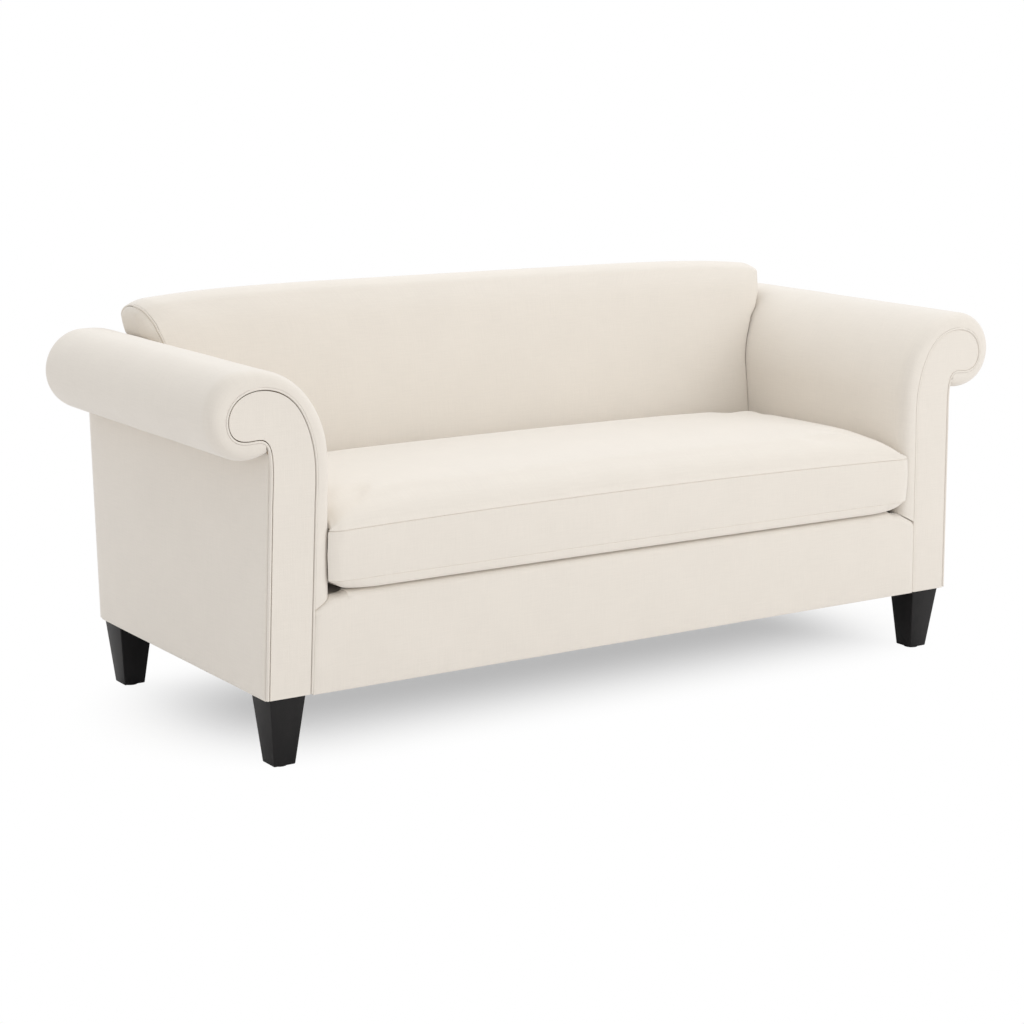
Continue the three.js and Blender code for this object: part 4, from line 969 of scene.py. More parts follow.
# %% Sizes of the cushion
CUSHION_BASE = 0.372
CUSHION_HALF = 0.8015
CUSHION_FRONT, CUSHION_REAR = -0.012, 0.575
CUSHION_DEPTH = CUSHION_REAR - CUSHION_FRONT
CUSHION_MIDDLE = (CUSHION_REAR + CUSHION_FRONT) / 2
CUSHION_LOW_SEAM = 0.022
SEAM_MIDDLE, SEAM_END_DROP = 0.1375, 0.009
CORNER_FRONT, CORNER_REAR = 0.034, 0.022
FLARE, FLARE_POWER = 0.026, 14
DRAW_IN = 0.005
CROWN = 0.0667
CROWN_FRONT, CROWN_FRONT_POWER = 0.0277, 0.747
CROWN_SIDE, CROWN_SIDE_POWER = 0.0177, 0.5
CROWN_BACK_LOSS, CROWN_REAR_FALL, CROWN_REAR_REACH = 0.19, 0.040, 0.015
REAR_SEAM_RISE = CROWN * (1 - CROWN_BACK_LOSS) - CROWN_REAR_FALL
CORNER_STEPS = 12
EDGE_CELLS = (0.0012, 0.0016, 0.0022, 0.0030, 0.0040, 0.0054, 0.0073, 0.0098)
CELL = 0.0120


def shares_along(length):
    """Places from 0 to 1 along a side, crowded near both ends."""
    near = np.cumsum(EDGE_CELLS)
    count = int(round((length - 2 * near[-1]) / CELL))
    middle = steps_between(near[-1], length - near[-1], count)[1:-1]
    return np.concatenate([[0.0], near, middle, length - near[::-1], [length]]) / length


SHARES_X, SHARES_Y = shares_along(2 * CUSHION_HALF), shares_along(CUSHION_DEPTH)
GRID_X, GRID_Y = len(SHARES_X) - 1, len(SHARES_Y) - 1


def cushion_corner(sx, sy, inset):
    radius = max((CORNER_FRONT if sy < 0 else CORNER_REAR) - inset, 0.0003)
    x, y = (half - inset - radius for half in (CUSHION_HALF, CUSHION_DEPTH / 2))
    return (sx * x, sy * y), radius


def cushion_edge(inset, shares, which):
    """One side of the plan, from the middle of a corner to the middle of the next."""
    corners = [(-1, -1), (1, -1), (1, 1), (-1, 1)]
    (c0, r0), (c1, r1) = (cushion_corner(*corners[k % 4], inset) for k in (which, which + 1))
    out = -math.pi / 2 + which * math.pi / 2
    line = np.vstack([arc(c0, r0, out - math.pi / 4, out, CORNER_STEPS),
                      arc(c1, r1, out, out + math.pi / 4, CORNER_STEPS)])
    run = run_length(line)
    at = run[-1] * shares
    points = np.column_stack([np.interp(at, run, line[:, k]) for k in (0, 1)])
    if which % 2 == 0:
        start, end = run[CORNER_STEPS], run[CORNER_STEPS + 1]
        share = np.clip((at - start) / (end - start), 0, 1)
        draw = DRAW_IN * (1 - 2 * inset / CUSHION_DEPTH)
        points[:, 1] -= np.sign(points[:, 1]) * draw * np.sin(math.pi * share).clip(0) ** 0.6
    return points


def flared(points, inset):
    depth = np.clip((points[:, 1] + CUSHION_MIDDLE) / BORDER, 0, 1)
    flare = max(FLARE - 0.6 * inset, 0) * (1 - np.sqrt(depth * (2 - depth)))
    share = (np.abs(points[:, 0]) / (CUSHION_HALF - inset)) ** FLARE_POWER
    return np.column_stack([points[:, 0] + np.sign(points[:, 0]) * flare * share, points[:, 1]])


def cushion_plan(inset):
    sides = [cushion_edge(inset, SHARES_X if k % 2 == 0 else SHARES_Y, k)[:-1] for k in range(4)]
    return flared(np.vstack(sides), inset)


print("points round the cushion:", len(cushion_plan(0)))


# %% Form of the cushion
def seam_height(x):
    drop = SEAM_END_DROP * np.minimum(np.abs(x) / CUSHION_HALF, 1) ** 2
    return CUSHION_BASE + SEAM_MIDDLE - drop


def crown_height(x, u, v):
    """Height of the top panel, from the middle of a side's share u across and v back."""
    from_front = CUSHION_DEPTH * v
    from_side = 2 * CUSHION_HALF * np.minimum(u, 1 - u)
    across = 1 - np.exp(-(from_side / CROWN_SIDE) ** CROWN_SIDE_POWER)
    along = 1 - np.exp(-(from_front / CROWN_FRONT) ** CROWN_FRONT_POWER)
    rear = np.exp(-(CUSHION_DEPTH - from_front) / CROWN_REAR_REACH)
    rise = CROWN * along * (1 - CROWN_BACK_LOSS * v) * (1 - rear) + REAR_SEAM_RISE * v ** 8 * rear
    return seam_height(x) + across * rise


def filled_plan(rim):
    """Points of a grid inside the plan, blended in from its four sides."""
    low, right = rim[:GRID_X + 1], rim[GRID_X:GRID_X + GRID_Y + 1]
    high = rim[GRID_X + GRID_Y:2 * GRID_X + GRID_Y + 1][::-1]
    left = np.vstack([rim[2 * GRID_X + GRID_Y:], rim[:1]])[::-1]
    u, v = np.meshgrid(SHARES_X, SHARES_Y)
    u, v = u[..., None], v[..., None]
    sides = (1 - v) * low[None] + v * high[None] + (1 - u) * left[:, None] + u * right[:, None]
    corners = ((1 - u) * (1 - v) * low[0] + u * (1 - v) * low[-1]
               + (1 - u) * v * high[0] + u * v * high[-1])
    return sides - corners


# %% [markdown]
# Below the seam at its foot the band turns under: almost square along the front, where it
# rests on the rail, and in a wide round at the two front corners, which lift off the deck.

# %% Rings of the cushion's band
GROOVE, GROOVE_HALF = 0.0021, 0.0013
SQUARE_TURN = ((0.0080, 0.0), (0.0040, 0.0008), (0.0015, 0.0035),
               (0.0, 0.0100), (0.0, 0.0209), (0.0011, 0.0220))
ROUND_TURN = ((0.0220, 0.0), (0.0150, 0.0015), (0.0080, 0.0060),
              (0.0030, 0.0120), (0.0002, 0.0209), (0.0011, 0.0220))
CORNER_LIFT, LIFT_FROM, LIFT_POWER = 0.016, 0.740, 3.3
BAND_SHARES = (0.009, 0.04, 0.10, 0.19, 0.30, 0.42, 0.55, 0.67, 0.78, 0.87, 0.935, 0.970, 0.9885)
BAND_BULGE = 0.0022
CUSHION_ANGLE = math.radians(38)           # sharper than this, and a seam shows as a line


def corner_lift(x, y):
    outward = np.clip((np.abs(x) - LIFT_FROM) / (CUSHION_HALF - LIFT_FROM), 0, 1)
    behind = y + CUSHION_DEPTH / 2
    return CORNER_LIFT * outward ** LIFT_POWER * (1 - smooth_step(behind, 0.03, 0.12))


def low_rings(shrink):
    """The rings that turn under, each blended from the square and the round turn."""
    plain = cushion_plan(shrink)
    roundness = smooth_step(np.abs(plain[:, 0]), 0.700, 0.800)[:, None]
    rings = []
    for (square_in, square_up), (round_in, round_up) in zip(SQUARE_TURN, ROUND_TURN):
        square, rounded = cushion_plan(square_in + shrink), cushion_plan(round_in + shrink)
        plan = (1 - roundness) * square + roundness * rounded
        up = ((1 - roundness) * square_up + roundness * round_up)[:, 0]
        lift = corner_lift(plan[:, 0], plan[:, 1]) * (1 - up / CUSHION_LOW_SEAM)
        rings.append((plan, CUSHION_BASE + shrink + up * (1 - shrink / CUSHION_LOW_SEAM) + lift))
    return rings


def band_rings(shrink):
    rings = low_rings(shrink)
    low = CUSHION_BASE + CUSHION_LOW_SEAM
    for share in BAND_SHARES:
        bulge = BAND_BULGE * math.sin(math.pi * share) ** 0.8
        plan = cushion_plan(shrink - bulge)
        high = seam_height(plan[:, 0]) - shrink
        rings.append((plan, low + (high - low) * share))
    for inset, up in ((GROOVE, 0.0), (0.0002, GROOVE_HALF)):
        plan = cushion_plan(shrink + inset)
        rings.append((plan, seam_height(plan[:, 0]) - shrink + up))
    return rings


def panel_grid(plan, top, shrink):
    """The inside of the top or bottom panel, and its heights."""
    grid = filled_plan(plan)
    if top:
        u, v = np.meshgrid(SHARES_X, SHARES_Y)
        return grid, crown_height(grid[..., 0], u, v) - shrink + GROOVE_HALF
    return grid, CUSHION_BASE + shrink + corner_lift(grid[..., 0], grid[..., 1])


def cushion_form(name, shrink):
    def placed(points, height):
        return np.column_stack([points[:, 0], FRONT_Y + CUSHION_MIDDLE + points[:, 1], height])

    rings = band_rings(shrink)
    points = np.concatenate([placed(*ring) for ring in rings])
    count = len(rings[0][0])
    along = run_length([placed(*ring)[GRID_X // 2] for ring in rings])
    faces, cloth = ring_faces(len(rings), count, run_length(rings[-1][0]), along)
    for rim_row, top in ((len(rings) - 1, True), (0, False)):
        grid, height = panel_grid(rings[rim_row][0], top, shrink)
        index = np.full(grid.shape[:2], -1)
        for k, place in enumerate(round_rim(*index.shape)):
            index[place] = rim_row * count + k
        fresh = index < 0
        index[fresh] = len(points) + np.arange(fresh.sum())
        points = np.vstack([points, placed(grid[fresh], height[fresh])])
        for corners in cells(*index.shape):
            corners = corners if top else corners[::-1]
            faces.append(tuple(int(index[place]) for place in corners))
            cloth += [tuple(grid[place]) for place in corners]
    return smooth_closed(mesh_piece(name, points, faces, cloth), CUSHION_ANGLE)


cushion = cushion_form("bench_cushion", 0.0)
print("cushion faces:", len(cushion.data.polygons))

# %% [markdown]
# Filling pushes on cloth from inside, and the cloth answers with soft, uneven swelling
# between the seams. The simulation runs on a copy, with the seams pinned, and the
# cushion then takes over where the cloth went, but no further than a few millimetres.

# %% Fill the cushion
FILL_PRESSURE = 3.0
FILL_FRAMES = 20
FILL_LIMIT = 0.005


def fill_with_pressure(piece, pinned):
    source = np.array([v.co for v in piece.data.vertices])
    copy = piece.copy()
    copy.data = piece.data.copy()
    bpy.context.scene.collection.objects.link(copy)
    group = copy.vertex_groups.new(name="seams")
    group.add([int(i) for i in pinned], 1.0, "REPLACE")
    cloth = copy.modifiers.new("filling", "CLOTH")
    settings = cloth.settings
    settings.quality = 5
    settings.mass = 0.3
    settings.tension_stiffness = settings.compression_stiffness = 25
    settings.shear_stiffness = 10
    settings.bending_stiffness = 2.0
    settings.use_pressure = True
    settings.uniform_pressure_force = FILL_PRESSURE
    settings.vertex_group_mass = "seams"
    settings.effector_weights.gravity = 0
    cloth.collision_settings.use_collision = False
    for step in range(1, FILL_FRAMES + 1):
        bpy.context.scene.frame_set(step)
    graph = bpy.context.evaluated_depsgraph_get()
    moved = np.array([v.co for v in copy.evaluated_get(graph).data.vertices]) - source
    bpy.context.scene.frame_set(1)
    bpy.data.objects.remove(copy)
    length = np.linalg.norm(moved, axis=1)
    keep = np.minimum(1, FILL_LIMIT / np.maximum(length, 1e-9))
    return source, moved * keep[:, None]


def settle_cushion(piece):
    count = len(cushion_plan(0))
    low_seam, top_seam = len(SQUARE_TURN) - 1, len(band_rings(0)) - 1
    rows = [*range(low_seam + 2), *range(top_seam - 2, top_seam + 1)]
    pinned = [row * count + k for row in rows for k in range(count)]
    source, moved = fill_with_pressure(piece, pinned)
    after = source + moved
    half = CUSHION_HALF + 0.002
    deep = source[:, 1] > FRONT_Y + BORDER
    after[deep, 0] = np.clip(after[deep, 0], -half, half)
    after[:, 1] = np.clip(after[:, 1], FRONT_Y + CUSHION_FRONT - 0.004,
                          FRONT_Y + CUSHION_REAR + 0.001)
    resting = source[:, 2] < CUSHION_BASE + CUSHION_LOW_SEAM
    after[resting] = source[resting]
    piece.data.vertices.foreach_set("co", after.astype(np.float32).ravel())
    piece.data.update()
    return float(np.linalg.norm(moved, axis=1).max())


print("cushion moved by up to", round(1000 * settle_cushion(cushion), 1), "mm")

stand_for(cushion, "seat_cushion_cover", "seat_cushion", "cushion_fabric")

# %% [markdown]
# Inside is a block of foam of the same form, a little smaller all round, so that the
# cover sits tight on it.

# %% Foam core
CORE_SHRINK = 0.0095
core = cushion_form("foam_core", CORE_SHRINK)
stand_for(core, "seat_cushion_core", "seat_cushion", "foam")
print("core height:", round(max(v.co.z for v in core.data.vertices) - CUSHION_BASE, 4), "m")

# %% [markdown]
# The cover opens at the rear by a long zip. It is a strip of tape with a row of teeth down
# its middle and a slider. One tooth is bevelled and then copied along by an array modifier,
# which keeps it light.

# %% Zip in the rear of the cushion
TAPE_THICKNESS = 0.0009
TOOTH = (0.0016, 0.0010, 0.0030)
TOOTH_PITCH = 0.0048
SLIDER = (0.009, 0.0016, 0.0060)
TOOTH_OUT, SLIDER_OUT = 0.0006, 0.0008     # their middles, behind the zip's front plane
TOOTH_START, TEETH_SHORTER, SLIDER_START = 0.02, 0.05, 0.016
ZIP_BEVEL, SLIDER_BEVEL = 0.0003, 0.0005


def block(name, middle, size):
    clear_selection()
    bpy.ops.mesh.primitive_cube_add(size=1, location=middle, scale=size)
    made = bpy.context.object
    made.name = made.data.name = name
    bpy.ops.object.transform_apply(location=True, rotation=True, scale=True)
    return made


def rounded_block(name, middle, size, width):
    made = block(name, middle, size)
    bpy.ops.object.mode_set(mode="EDIT")
    bpy.ops.mesh.select_all(action="SELECT")
    bpy.ops.mesh.bevel(offset=width, segments=2, affect="EDGES")
    bpy.ops.object.mode_set(mode="OBJECT")
    return made


zip_low, zip_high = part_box("seat_cushion_zip")
zip_z = (zip_low.z + zip_high.z) / 2
zip_length = zip_high.x - zip_low.x
tape = rounded_block("zip_tape", (0, zip_high.y - TAPE_THICKNESS / 2, zip_z),
                     (zip_length, TAPE_THICKNESS, zip_high.z - zip_low.z), ZIP_BEVEL)
tooth = rounded_block("zip_teeth", (zip_low.x + TOOTH_START, zip_low.y + TOOTH_OUT, zip_z),
                      TOOTH, ZIP_BEVEL)
array = tooth.modifiers.new("row", "ARRAY")
array.use_relative_offset, array.use_constant_offset = False, True
array.constant_offset_displace = (TOOTH_PITCH, 0, 0)
array.count = int((zip_length - TEETH_SHORTER) / TOOTH_PITCH)
bpy.ops.object.modifier_apply(modifier=array.name)
slider_place = (zip_high.x - SLIDER_START, zip_low.y + SLIDER_OUT, zip_z)
slider = rounded_block("zip_slider", slider_place, SLIDER, SLIDER_BEVEL)
stand_for(tape, "seat_cushion_zip", body="seat_cushion", slot="tape")
for piece in (tooth, slider):
    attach(piece, "seat_cushion")
print("zip faces:", [len(piece.data.polygons) for piece in (tape, tooth, slider)])

# %% [markdown]
# ## Deck and dust cover
# Under the cushion lies the deck, a thin pad over the springs, covered in the sofa's own
# cloth where it can be seen. Underneath, a black cloth is stretched between the rails; it
# hangs a few millimetres in the middle, and its edge is stapled flat.

# %% Deck
DECK_EDGE = 0.006
DECK_GAP = 0.0002          # clear of the springs
DECK_DIP = 0.016           # the deck's front corners sink under the cushion's lifted ones
DIP_DEPTH, DIP_ACROSS = 0.14, (0.66, 0.78)
DECK_CELLS_X, DECK_CELLS_Y = 60, 30


def seat_deck(name):
    low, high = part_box("seat_deck")
    across = crowded(low.x, high.x, DECK_CELLS_X, DECK_EDGE)
    along = crowded(low.y, high.y, DECK_CELLS_Y, DECK_EDGE)
    upper, lower = [], []
    for y in along:
        soft = np.minimum(edge_fall(across, low.x, high.x, DECK_EDGE),
                          edge_fall(y, low.y, high.y, DECK_EDGE))
        forward = 1 - smooth_step(y, low.y, low.y + DIP_DEPTH)
        dip = DECK_DIP * forward * smooth_step(np.abs(across), *DIP_ACROSS)
        heights = high.z - DECK_EDGE * (1 - soft) - dip
        upper.append([(x, y, z) for x, z in zip(across, heights)])
        lower.append([(x, y, low.z + DECK_GAP) for x in across])
    return slab(name, upper, lower, across, along)


deck = seat_deck("deck_pad")
stand_for(deck, "seat_deck")
print("deck faces:", len(deck.data.polygons))

# %% Dust cover
DUST_SAG = 0.0045
DUST_THICKNESS = 0.0012
DUST_CELLS_X, DUST_CELLS_Y = 56, 24


def edges_between(low, high, notch, cells):
    """Grid lines that include the edges of a notch at both ends."""
    return np.unique(np.concatenate([steps_between(low, low + notch, 3),
                                     steps_between(low + notch, high - notch, cells),
                                     steps_between(high - notch, high, 3)]).round(6))


def dust_sheet(name):
    low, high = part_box("dust_cover")
    block_low, block_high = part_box("corner_block_front_right")
    notch_x, notch_y = high.x - block_low.x + 0.0003, block_high.y - low.y + 0.0003
    xs = edges_between(low.x, high.x, notch_x, DUST_CELLS_X)
    ys = edges_between(low.y, high.y, notch_y, DUST_CELLS_Y)

    def sag(x, y):
        across = np.clip((high.x - 0.03 - abs(x)) / high.x, 0, 1)
        along = np.clip(min(y - low.y - 0.03, high.y - 0.03 - y) / (high.y - low.y) * 2, 0, 1)
        both = math.sin(math.pi / 2 * across) * math.sin(math.pi / 2 * along)
        return DUST_SAG * math.sqrt(both)

    points = [(x, y, high.z - DUST_THICKNESS / 2 - 0.0001 - sag(x, y)) for y in ys for x in xs]
    faces, cloth = [], []
    for corners in cells(len(ys), len(xs)):
        where = [(xs[c], ys[r]) for r, c in corners]
        x, y = np.mean(where, axis=0)
        if abs(x) < high.x - notch_x or low.y + notch_y < y < high.y - notch_y:
            faces.append(tuple(r * len(xs) + c for r, c in corners))
            cloth += where
    piece = mesh_piece(name, points, faces, cloth)
    pick(piece)
    bpy.ops.object.mode_set(mode="EDIT")
    bpy.ops.mesh.select_all(action="SELECT")
    bpy.ops.mesh.delete_loose()
    bpy.ops.object.mode_set(mode="OBJECT")
    thick = piece.modifiers.new("cloth_thickness", "SOLIDIFY")
    thick.thickness, thick.offset = DUST_THICKNESS, 0.0
    bpy.ops.object.modifier_apply(modifier=thick.name)
    flat = (high.x - low.x, high.y - low.y)
    return smooth_closed(piece), flat, flat[0] * flat[1] - 4 * notch_x * notch_y


dust, dust_flat, dust_area = dust_sheet("dust_cloth")
stand_for(dust, "dust_cover", slot="dust_cloth")
print("dust cover:", [round(v, 3) for v in dust_flat], "m, area", round(dust_area, 3), "m2")

# %% [markdown]
# ## Cloth
# The cloth is a plain weave of linen and cotton. Two crossed sine ridges make the over and
# under of the threads, long thin noise makes the slubs, and a slow, very weak variation
# of tone keeps large panels from looking printed. Everything reads the cloth measure
# that each piece carries.

# %% Cloth material
THREAD_PITCH = 0.0016


def node(tree, kind, **values):
    made = tree.nodes.new(kind)
    for key, value in values.items():
        setattr(made, key, value)
    return made


def maths(tree, operation, a, b=None, clamp=False):
    made = node(tree, "ShaderNodeMath", operation=operation, use_clamp=clamp)
    for socket, value in zip(made.inputs, (a, b)):
        if value is None:
            continue
        if isinstance(value, (int, float)):
            socket.default_value = value
        else:
            tree.links.new(value, socket)
    return made.outputs[0]


def set_inputs(made, values):
    for socket, value in values.items():
        made.inputs[socket].default_value = value


def scaled_noise(tree, where, scale, detail=2.0, roughness=0.5):
    """Noise stretched by a scale for each way, in turns per metre."""
    mapping = node(tree, "ShaderNodeMapping")
    set_inputs(mapping, {"Scale": scale})
    tree.links.new(where, mapping.inputs["Vector"])
    made = node(tree, "ShaderNodeTexNoise")
    set_inputs(made, {"Scale": 1.0, "Detail": detail, "Roughness": roughness})
    tree.links.new(mapping.outputs[0], made.inputs["Vector"])
    return made.outputs["Fac"]


def add_bump(tree, shader, height, strength, distance):
    bump = node(tree, "ShaderNodeBump")
    set_inputs(bump, {"Strength": strength, "Distance": distance})
    tree.links.new(height, bump.inputs["Height"])
    tree.links.new(bump.outputs[0], shader.inputs["Normal"])


def new_material(name):
    material = bpy.data.materials.new(name)
    material.use_nodes = True
    return material, material.node_tree, material.node_tree.nodes["Principled BSDF"]


def give_material(piece, material):
    piece.data.materials.clear()
    piece.data.materials.append(material)


def weave_height(tree, where):
    parts = node(tree, "ShaderNodeSeparateXYZ")
    tree.links.new(where, parts.inputs[0])
    turns = [maths(tree, "MULTIPLY", parts.outputs[k], math.pi / THREAD_PITCH) for k in (0, 1)]
    return maths(tree, "MULTIPLY", *[maths(tree, "SINE", turn) for turn in turns])


def tone_from(tree, base, spread, shares):
    """A base colour made lighter and darker by several noises, each with its own share."""
    total = None
    for value, share in shares:
        centred = maths(tree, "MULTIPLY", maths(tree, "SUBTRACT", value, 0.5), share)
        total = centred if total is None else maths(tree, "ADD", total, centred)
    ramp = node(tree, "ShaderNodeMix", data_type="RGBA")
    set_inputs(ramp, {"A": (*[c * (1 - spread) for c in base], 1),
                      "B": (*[min(c * (1 + spread), 1) for c in base], 1)})
    tree.links.new(maths(tree, "ADD", total, 0.5, clamp=True), ramp.inputs["Factor"])
    return ramp.outputs["Result"]


def cloth_material(name, base):
    material, tree, shader = new_material(name)
    where = node(tree, "ShaderNodeUVMap", uv_map="cloth").outputs["UV"]
    slub_u = scaled_noise(tree, where, (18, 420, 420))
    slub_v = scaled_noise(tree, where, (420, 18, 420))
    cloud = scaled_noise(tree, where, (7, 7, 7), detail=3)
    tone = tone_from(tree, base, 0.06, ((slub_u, 0.5), (slub_v, 0.5), (cloud, 0.45)))
    tree.links.new(tone, shader.inputs["Base Color"])
    weave = maths(tree, "MULTIPLY", weave_height(tree, where), 0.35)
    height = maths(tree, "ADD", weave, maths(tree, "ADD", slub_u, slub_v))
    add_bump(tree, shader, height, 0.22, 0.0006)
    set_inputs(shader, {"Roughness": 0.9, "Specular IOR Level": 0.2,
                        "Sheen Weight": 0.45, "Sheen Roughness": 0.5})
    return material


CLOTH_COLOUR = (0.775, 0.723, 0.652)
cream_cloth = cloth_material("cream_woven_cloth", CLOTH_COLOUR)
for piece in covers:
    give_material(piece, cream_cloth)
print("cloth on", len(covers), "pieces")

# %% [markdown]
# ## Legs
# Each leg is a square post that tapers to the floor, lacquered black. A cube is narrowed
# at its foot in edit mode, and its edges are bevelled so they catch a line of light. One
# is made for each of the four corners.

# %% Tapered legs
LEG_TOP, LEG_FOOT = 0.084, 0.051
LEG_LOW = 0.004
LEG_INSET = 0.010
LEG_BEVEL = 0.0022
LEG_ANGLE = math.radians(30)
leg_x = BODY_HALF - LEG_INSET - LEG_TOP / 2
leg_depths = {"front": LEG_INSET + LEG_TOP / 2, "rear": BODY_DEPTH - LEG_INSET - LEG_TOP / 2}


def tapered_leg(name, x, y):
    leg = block(name, (x, y, (UNDERSIDE + LEG_LOW) / 2), (LEG_TOP, LEG_TOP, UNDERSIDE - LEG_LOW))
    bpy.ops.object.mode_set(mode="EDIT")
    bpy.ops.mesh.select_mode(type="VERT")
    bpy.ops.mesh.select_all(action="DESELECT")
    bpy.ops.object.mode_set(mode="OBJECT")
    for vertex in leg.data.vertices:
        vertex.select = vertex.co.z < UNDERSIDE / 2
    bpy.ops.object.mode_set(mode="EDIT")
    share = LEG_FOOT / LEG_TOP
    bpy.ops.transform.resize(value=(share, share, 1), center_override=(x, y, LEG_LOW))
    bpy.ops.object.mode_set(mode="OBJECT")
    bevel = leg.modifiers.new("soft_edges", "BEVEL")
    bevel.width, bevel.segments = LEG_BEVEL, 3
    bpy.ops.object.modifier_apply(modifier=bevel.name)
    return smooth_closed(leg, LEG_ANGLE)


legs = []
for place, depth in leg_depths.items():
    for end, side in ENDS:
        leg = tapered_leg(f"{place}_leg_{end}", side * leg_x, FRONT_Y + depth)
        stand_for(leg, f"leg_{place}_{end}", slot="leg_wood")
        legs.append(leg)
print("legs:", [leg.name for leg in legs])


# %% Lacquer
def noisy_material(name, base, spread, scales, detail, shares, bump, values):
    """A finish toned by a fine and a broad noise; the fine one also roughens it."""
    material, tree, shader = new_material(name)
    where = node(tree, "ShaderNodeTexCoord").outputs["Object"]
    fine = scaled_noise(tree, where, scales[0], detail=detail, roughness=0.6)
    broad = scaled_noise(tree, where, (scales[1],) * 3)
    tone = tone_from(tree, base, spread, ((fine, shares[0]), (broad, shares[1])))
    tree.links.new(tone, shader.inputs["Base Color"])
    add_bump(tree, shader, fine, *bump)
    set_inputs(shader, values)
    return material


def wood_material(name, base, spread, roughness, coat, grain_axis=2):
    stretch = [90.0, 90.0, 90.0]
    stretch[grain_axis] = 5.0
    return noisy_material(name, base, spread, (stretch, 6), 5, (1.6, 0.8), (0.15, 0.0003),
                          {"Roughness": roughness, "Specular IOR Level": 0.25,
                           "Coat Weight": coat, "Coat Roughness": 0.25})


black_lacquer = wood_material("black_lacquered_wood", (0.0065, 0.0058, 0.0060), 0.35, 0.45, 0.05)
for leg in legs:
    give_material(leg, black_lacquer)
print("lacquer ready")

# %% [markdown]
# ## What is inside
# The wooden frame, springs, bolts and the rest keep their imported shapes. Each gets the
# finish of its real stuff: planed wood, drawn wire, foam, black felt, tape and plastic.

# %% Finishes of the inner parts
def plain_material(name, base, spread, scale, roughness, metallic=0.0, bump_depth=0.0002):
    return noisy_material(name, base, spread, ((scale,) * 3, scale / 20), 4, (1.2, 0.6),
                          (0.5, bump_depth), {"Roughness": roughness, "Metallic": metallic})


FRAME_WOOD = (0.48, 0.31, 0.17)
wood_along = [wood_material(f"planed_wood_{axis}", FRAME_WOOD, 0.3, 0.7, 0.0, "xyz".index(axis))
              for axis in "xyz"]
finishes = {
    "steel": plain_material("drawn_steel", (0.55, 0.55, 0.55), 0.15, 900, 0.38, metallic=1.0),
    "foam": plain_material("seat_foam", (0.83, 0.74, 0.50), 0.12, 700, 0.95, bump_depth=0.0008),
    "felt": plain_material("black_felt", (0.020, 0.020, 0.022), 0.3, 1200, 0.95),
    "tape": plain_material("zip_tape", (0.66, 0.61, 0.51), 0.12, 900, 0.85),
    "plastic": plain_material("moulded_black_plastic", (0.012, 0.012, 0.012), 0.3, 500, 0.5),
}
FINISH_WORDS = (("bolt", "steel"), ("spring", "steel"), ("core", "foam"), ("dust", "felt"),
                ("zip", "tape"), ("glide", "plastic"))


def finish_of(name):
    for word, finish in FINISH_WORDS:
        if word in name:
            return finishes[finish]
    low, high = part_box(name)
    return wood_along[int(np.argmax(high - low))]


for name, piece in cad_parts.items():
    if not piece.hide_render:
        give_material(piece, finish_of(name))
own_finishes = ((core, "foam"), (dust, "felt"), (tape, "tape"), (tooth, "plastic"),
                (slider, "steel"))
for piece, finish in own_finishes:
    give_material(piece, finishes[finish])
print("inner parts finished")

# %% [markdown]
# ## Light, floor and camera
# A plain studio: white all round, a wide soft light above and in front, and a floor so pale
# that it joins the background, yet keeps the sofa's shadow. What the camera and mirrors see
# of the world is plain white; the light on the sofa is a little weaker.

# %% World
def mixed(tree, share, first, second):
    mix = node(tree, "ShaderNodeMixShader")
    for socket, given in zip(mix.inputs, (share, first, second)):
        tree.links.new(given, socket)
    return mix.outputs[0]


SKY_STRENGTH = 0.80
world = bpy.data.worlds.new("studio")
bpy.context.scene.world = world
world.use_nodes = True
tree = world.node_tree
sky = tree.nodes["Background"]
plain_white = node(tree, "ShaderNodeBackground")
for background, strength in ((sky, SKY_STRENGTH), (plain_white, 1.0)):
    set_inputs(background, {"Color": (1, 1, 1, 1), "Strength": strength})
path = node(tree, "ShaderNodeLightPath")
seen = maths(tree, "MAXIMUM", path.outputs["Is Camera Ray"], path.outputs["Is Glossy Ray"])
seen = maths(tree, "MAXIMUM", seen, path.outputs["Is Transmission Ray"])
surface = mixed(tree, seen, sky.outputs[0], plain_white.outputs[0])
tree.links.new(surface, tree.nodes["World Output"].inputs["Surface"])
print("world ready")

# %% [markdown]
# A studio floor that joins a white background is never darker than white away from the
# object. So the camera sees the floor's own shadow only partly, and less and less of it
# further out, where plain white takes over. All other light meets an ordinary pale floor.

# %% Floor
FLOOR_WHITE_NEAR = 0.44    # share of plain white that the camera sees under the sofa's middle
FLOOR_NEAR, FLOOR_FAR = 0.0, 0.50
FLOOR_COLOUR = (0.93, 0.92, 0.92, 1)
FLOOR_CORE = (0.70, 0.0, 1.0)
FLOOR_SHIFT = (0.0, -0.02, 0.0)

clear_selection()
bpy.ops.mesh.primitive_plane_add(size=60, location=(0, 0, 0))
floor = bpy.context.object
floor.name = "floor"
material, tree, shader = new_material("pale_floor")
set_inputs(shader, {"Base Color": FLOOR_COLOUR, "Roughness": 0.9, "Specular IOR Level": 0.1})
shift = node(tree, "ShaderNodeMapping")
set_inputs(shift, {"Location": FLOOR_SHIFT})
tree.links.new(node(tree, "ShaderNodeTexCoord").outputs["Object"], shift.inputs["Vector"])
where = shift.outputs[0]
FROM_CORE = (("ABSOLUTE", None), ("SUBTRACT", FLOOR_CORE), ("MAXIMUM", (0, 0, 0)),
             ("LENGTH", None))
for operation, value in FROM_CORE:
    away = node(tree, "ShaderNodeVectorMath", operation=operation)
    tree.links.new(where, away.inputs[0])
    if value is not None:
        away.inputs[1].default_value = value
    where = away.outputs["Value" if operation == "LENGTH" else "Vector"]
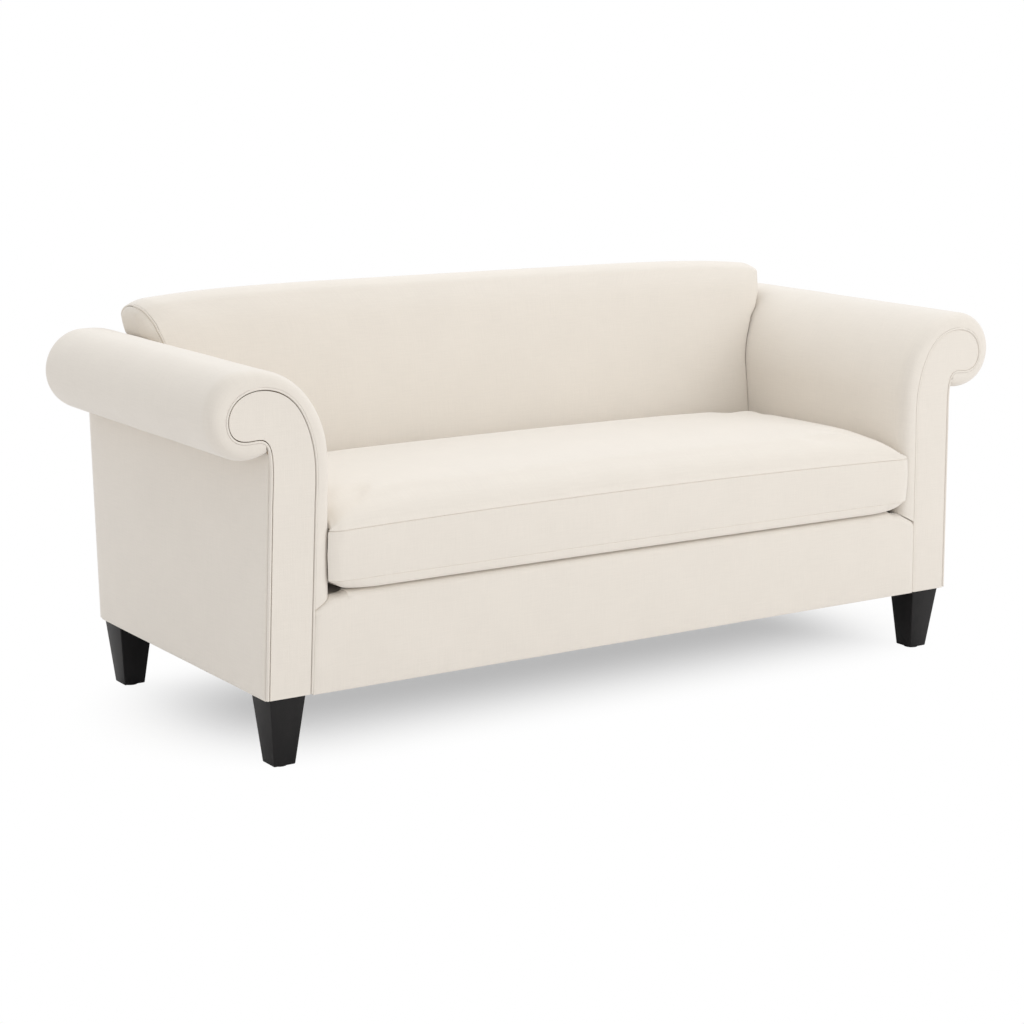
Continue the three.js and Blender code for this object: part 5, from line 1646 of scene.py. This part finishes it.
fade = node(tree, "ShaderNodeMapRange", interpolation_type="SMOOTHSTEP")
set_inputs(fade, {"From Min": FLOOR_NEAR, "From Max": FLOOR_FAR, "To Min": FLOOR_WHITE_NEAR})
tree.links.new(where, fade.inputs["Value"])
seen = node(tree, "ShaderNodeLightPath").outputs["Is Camera Ray"]
surface = mixed(tree, maths(tree, "MULTIPLY", fade.outputs["Result"], seen), shader.outputs[0],
                node(tree, "ShaderNodeEmission").outputs[0])
tree.links.new(surface, tree.nodes["Material Output"].inputs["Surface"])
floor.data.materials.append(material)
print("floor ready")

# %% [markdown]
# Most of the light comes evenly from all sides. Three wide lamps, above, above and
# behind, and far off to the front right, model the forms and lift the seat and rolls.

# %% Lights
LIGHT_TARGET = Vector((0, 0, 0.4))


def soft_light(name, place, size, power):
    light = bpy.data.lights.new(name, "AREA")
    light.shape, light.size, light.size_y, light.energy = "RECTANGLE", size[0], size[1], power
    lamp = bpy.data.objects.new(name, light)
    lamp.location = place
    lamp.rotation_euler = (LIGHT_TARGET - Vector(place)).to_track_quat("-Z", "Y").to_euler()
    bpy.context.scene.collection.objects.link(lamp)


soft_light("overhead", (0.4, -0.4, 4.0), (5.0, 4.0), 23)
soft_light("front_right", (5.5, -8.0, 4.5), (5.0, 5.0), 230)
soft_light("rear_overhead", (0.0, 2.6, 4.0), (4.0, 3.0), 39)

# %% [markdown]
# The camera was fitted to straight edges and mirrored corners of the photograph. Its three
# angles and its place are all that is needed; the focal length is for a 36 mm sensor.

# %% Camera
CAMERA_PLACE = (-3.14563, -4.48584, 1.52387)
CAMERA_YAW, CAMERA_PITCH, CAMERA_ROLL = (math.radians(a) for a in (34.3719, 11.7953, 0.6613))
forward = Vector((math.sin(CAMERA_YAW) * math.cos(CAMERA_PITCH),
                  math.cos(CAMERA_YAW) * math.cos(CAMERA_PITCH), -math.sin(CAMERA_PITCH)))
level_right = forward.cross(Vector((0, 0, 1))).normalized()
level_up = level_right.cross(forward)
right = level_right * math.cos(CAMERA_ROLL) + level_up * math.sin(CAMERA_ROLL)
up = level_up * math.cos(CAMERA_ROLL) - level_right * math.sin(CAMERA_ROLL)
camera_data = bpy.data.cameras.new("camera")
camera_data.lens, camera_data.sensor_width, camera_data.clip_end = 81.58, 36, 100
camera = bpy.data.objects.new("camera", camera_data)
turned = Matrix((right, up, -forward)).transposed().to_4x4()
camera.matrix_world = Matrix.Translation(CAMERA_PLACE) @ turned
bpy.context.scene.collection.objects.link(camera)
bpy.context.scene.camera = camera
bpy.context.scene.view_settings.view_transform = "Standard"
print("camera at", CAMERA_PLACE)
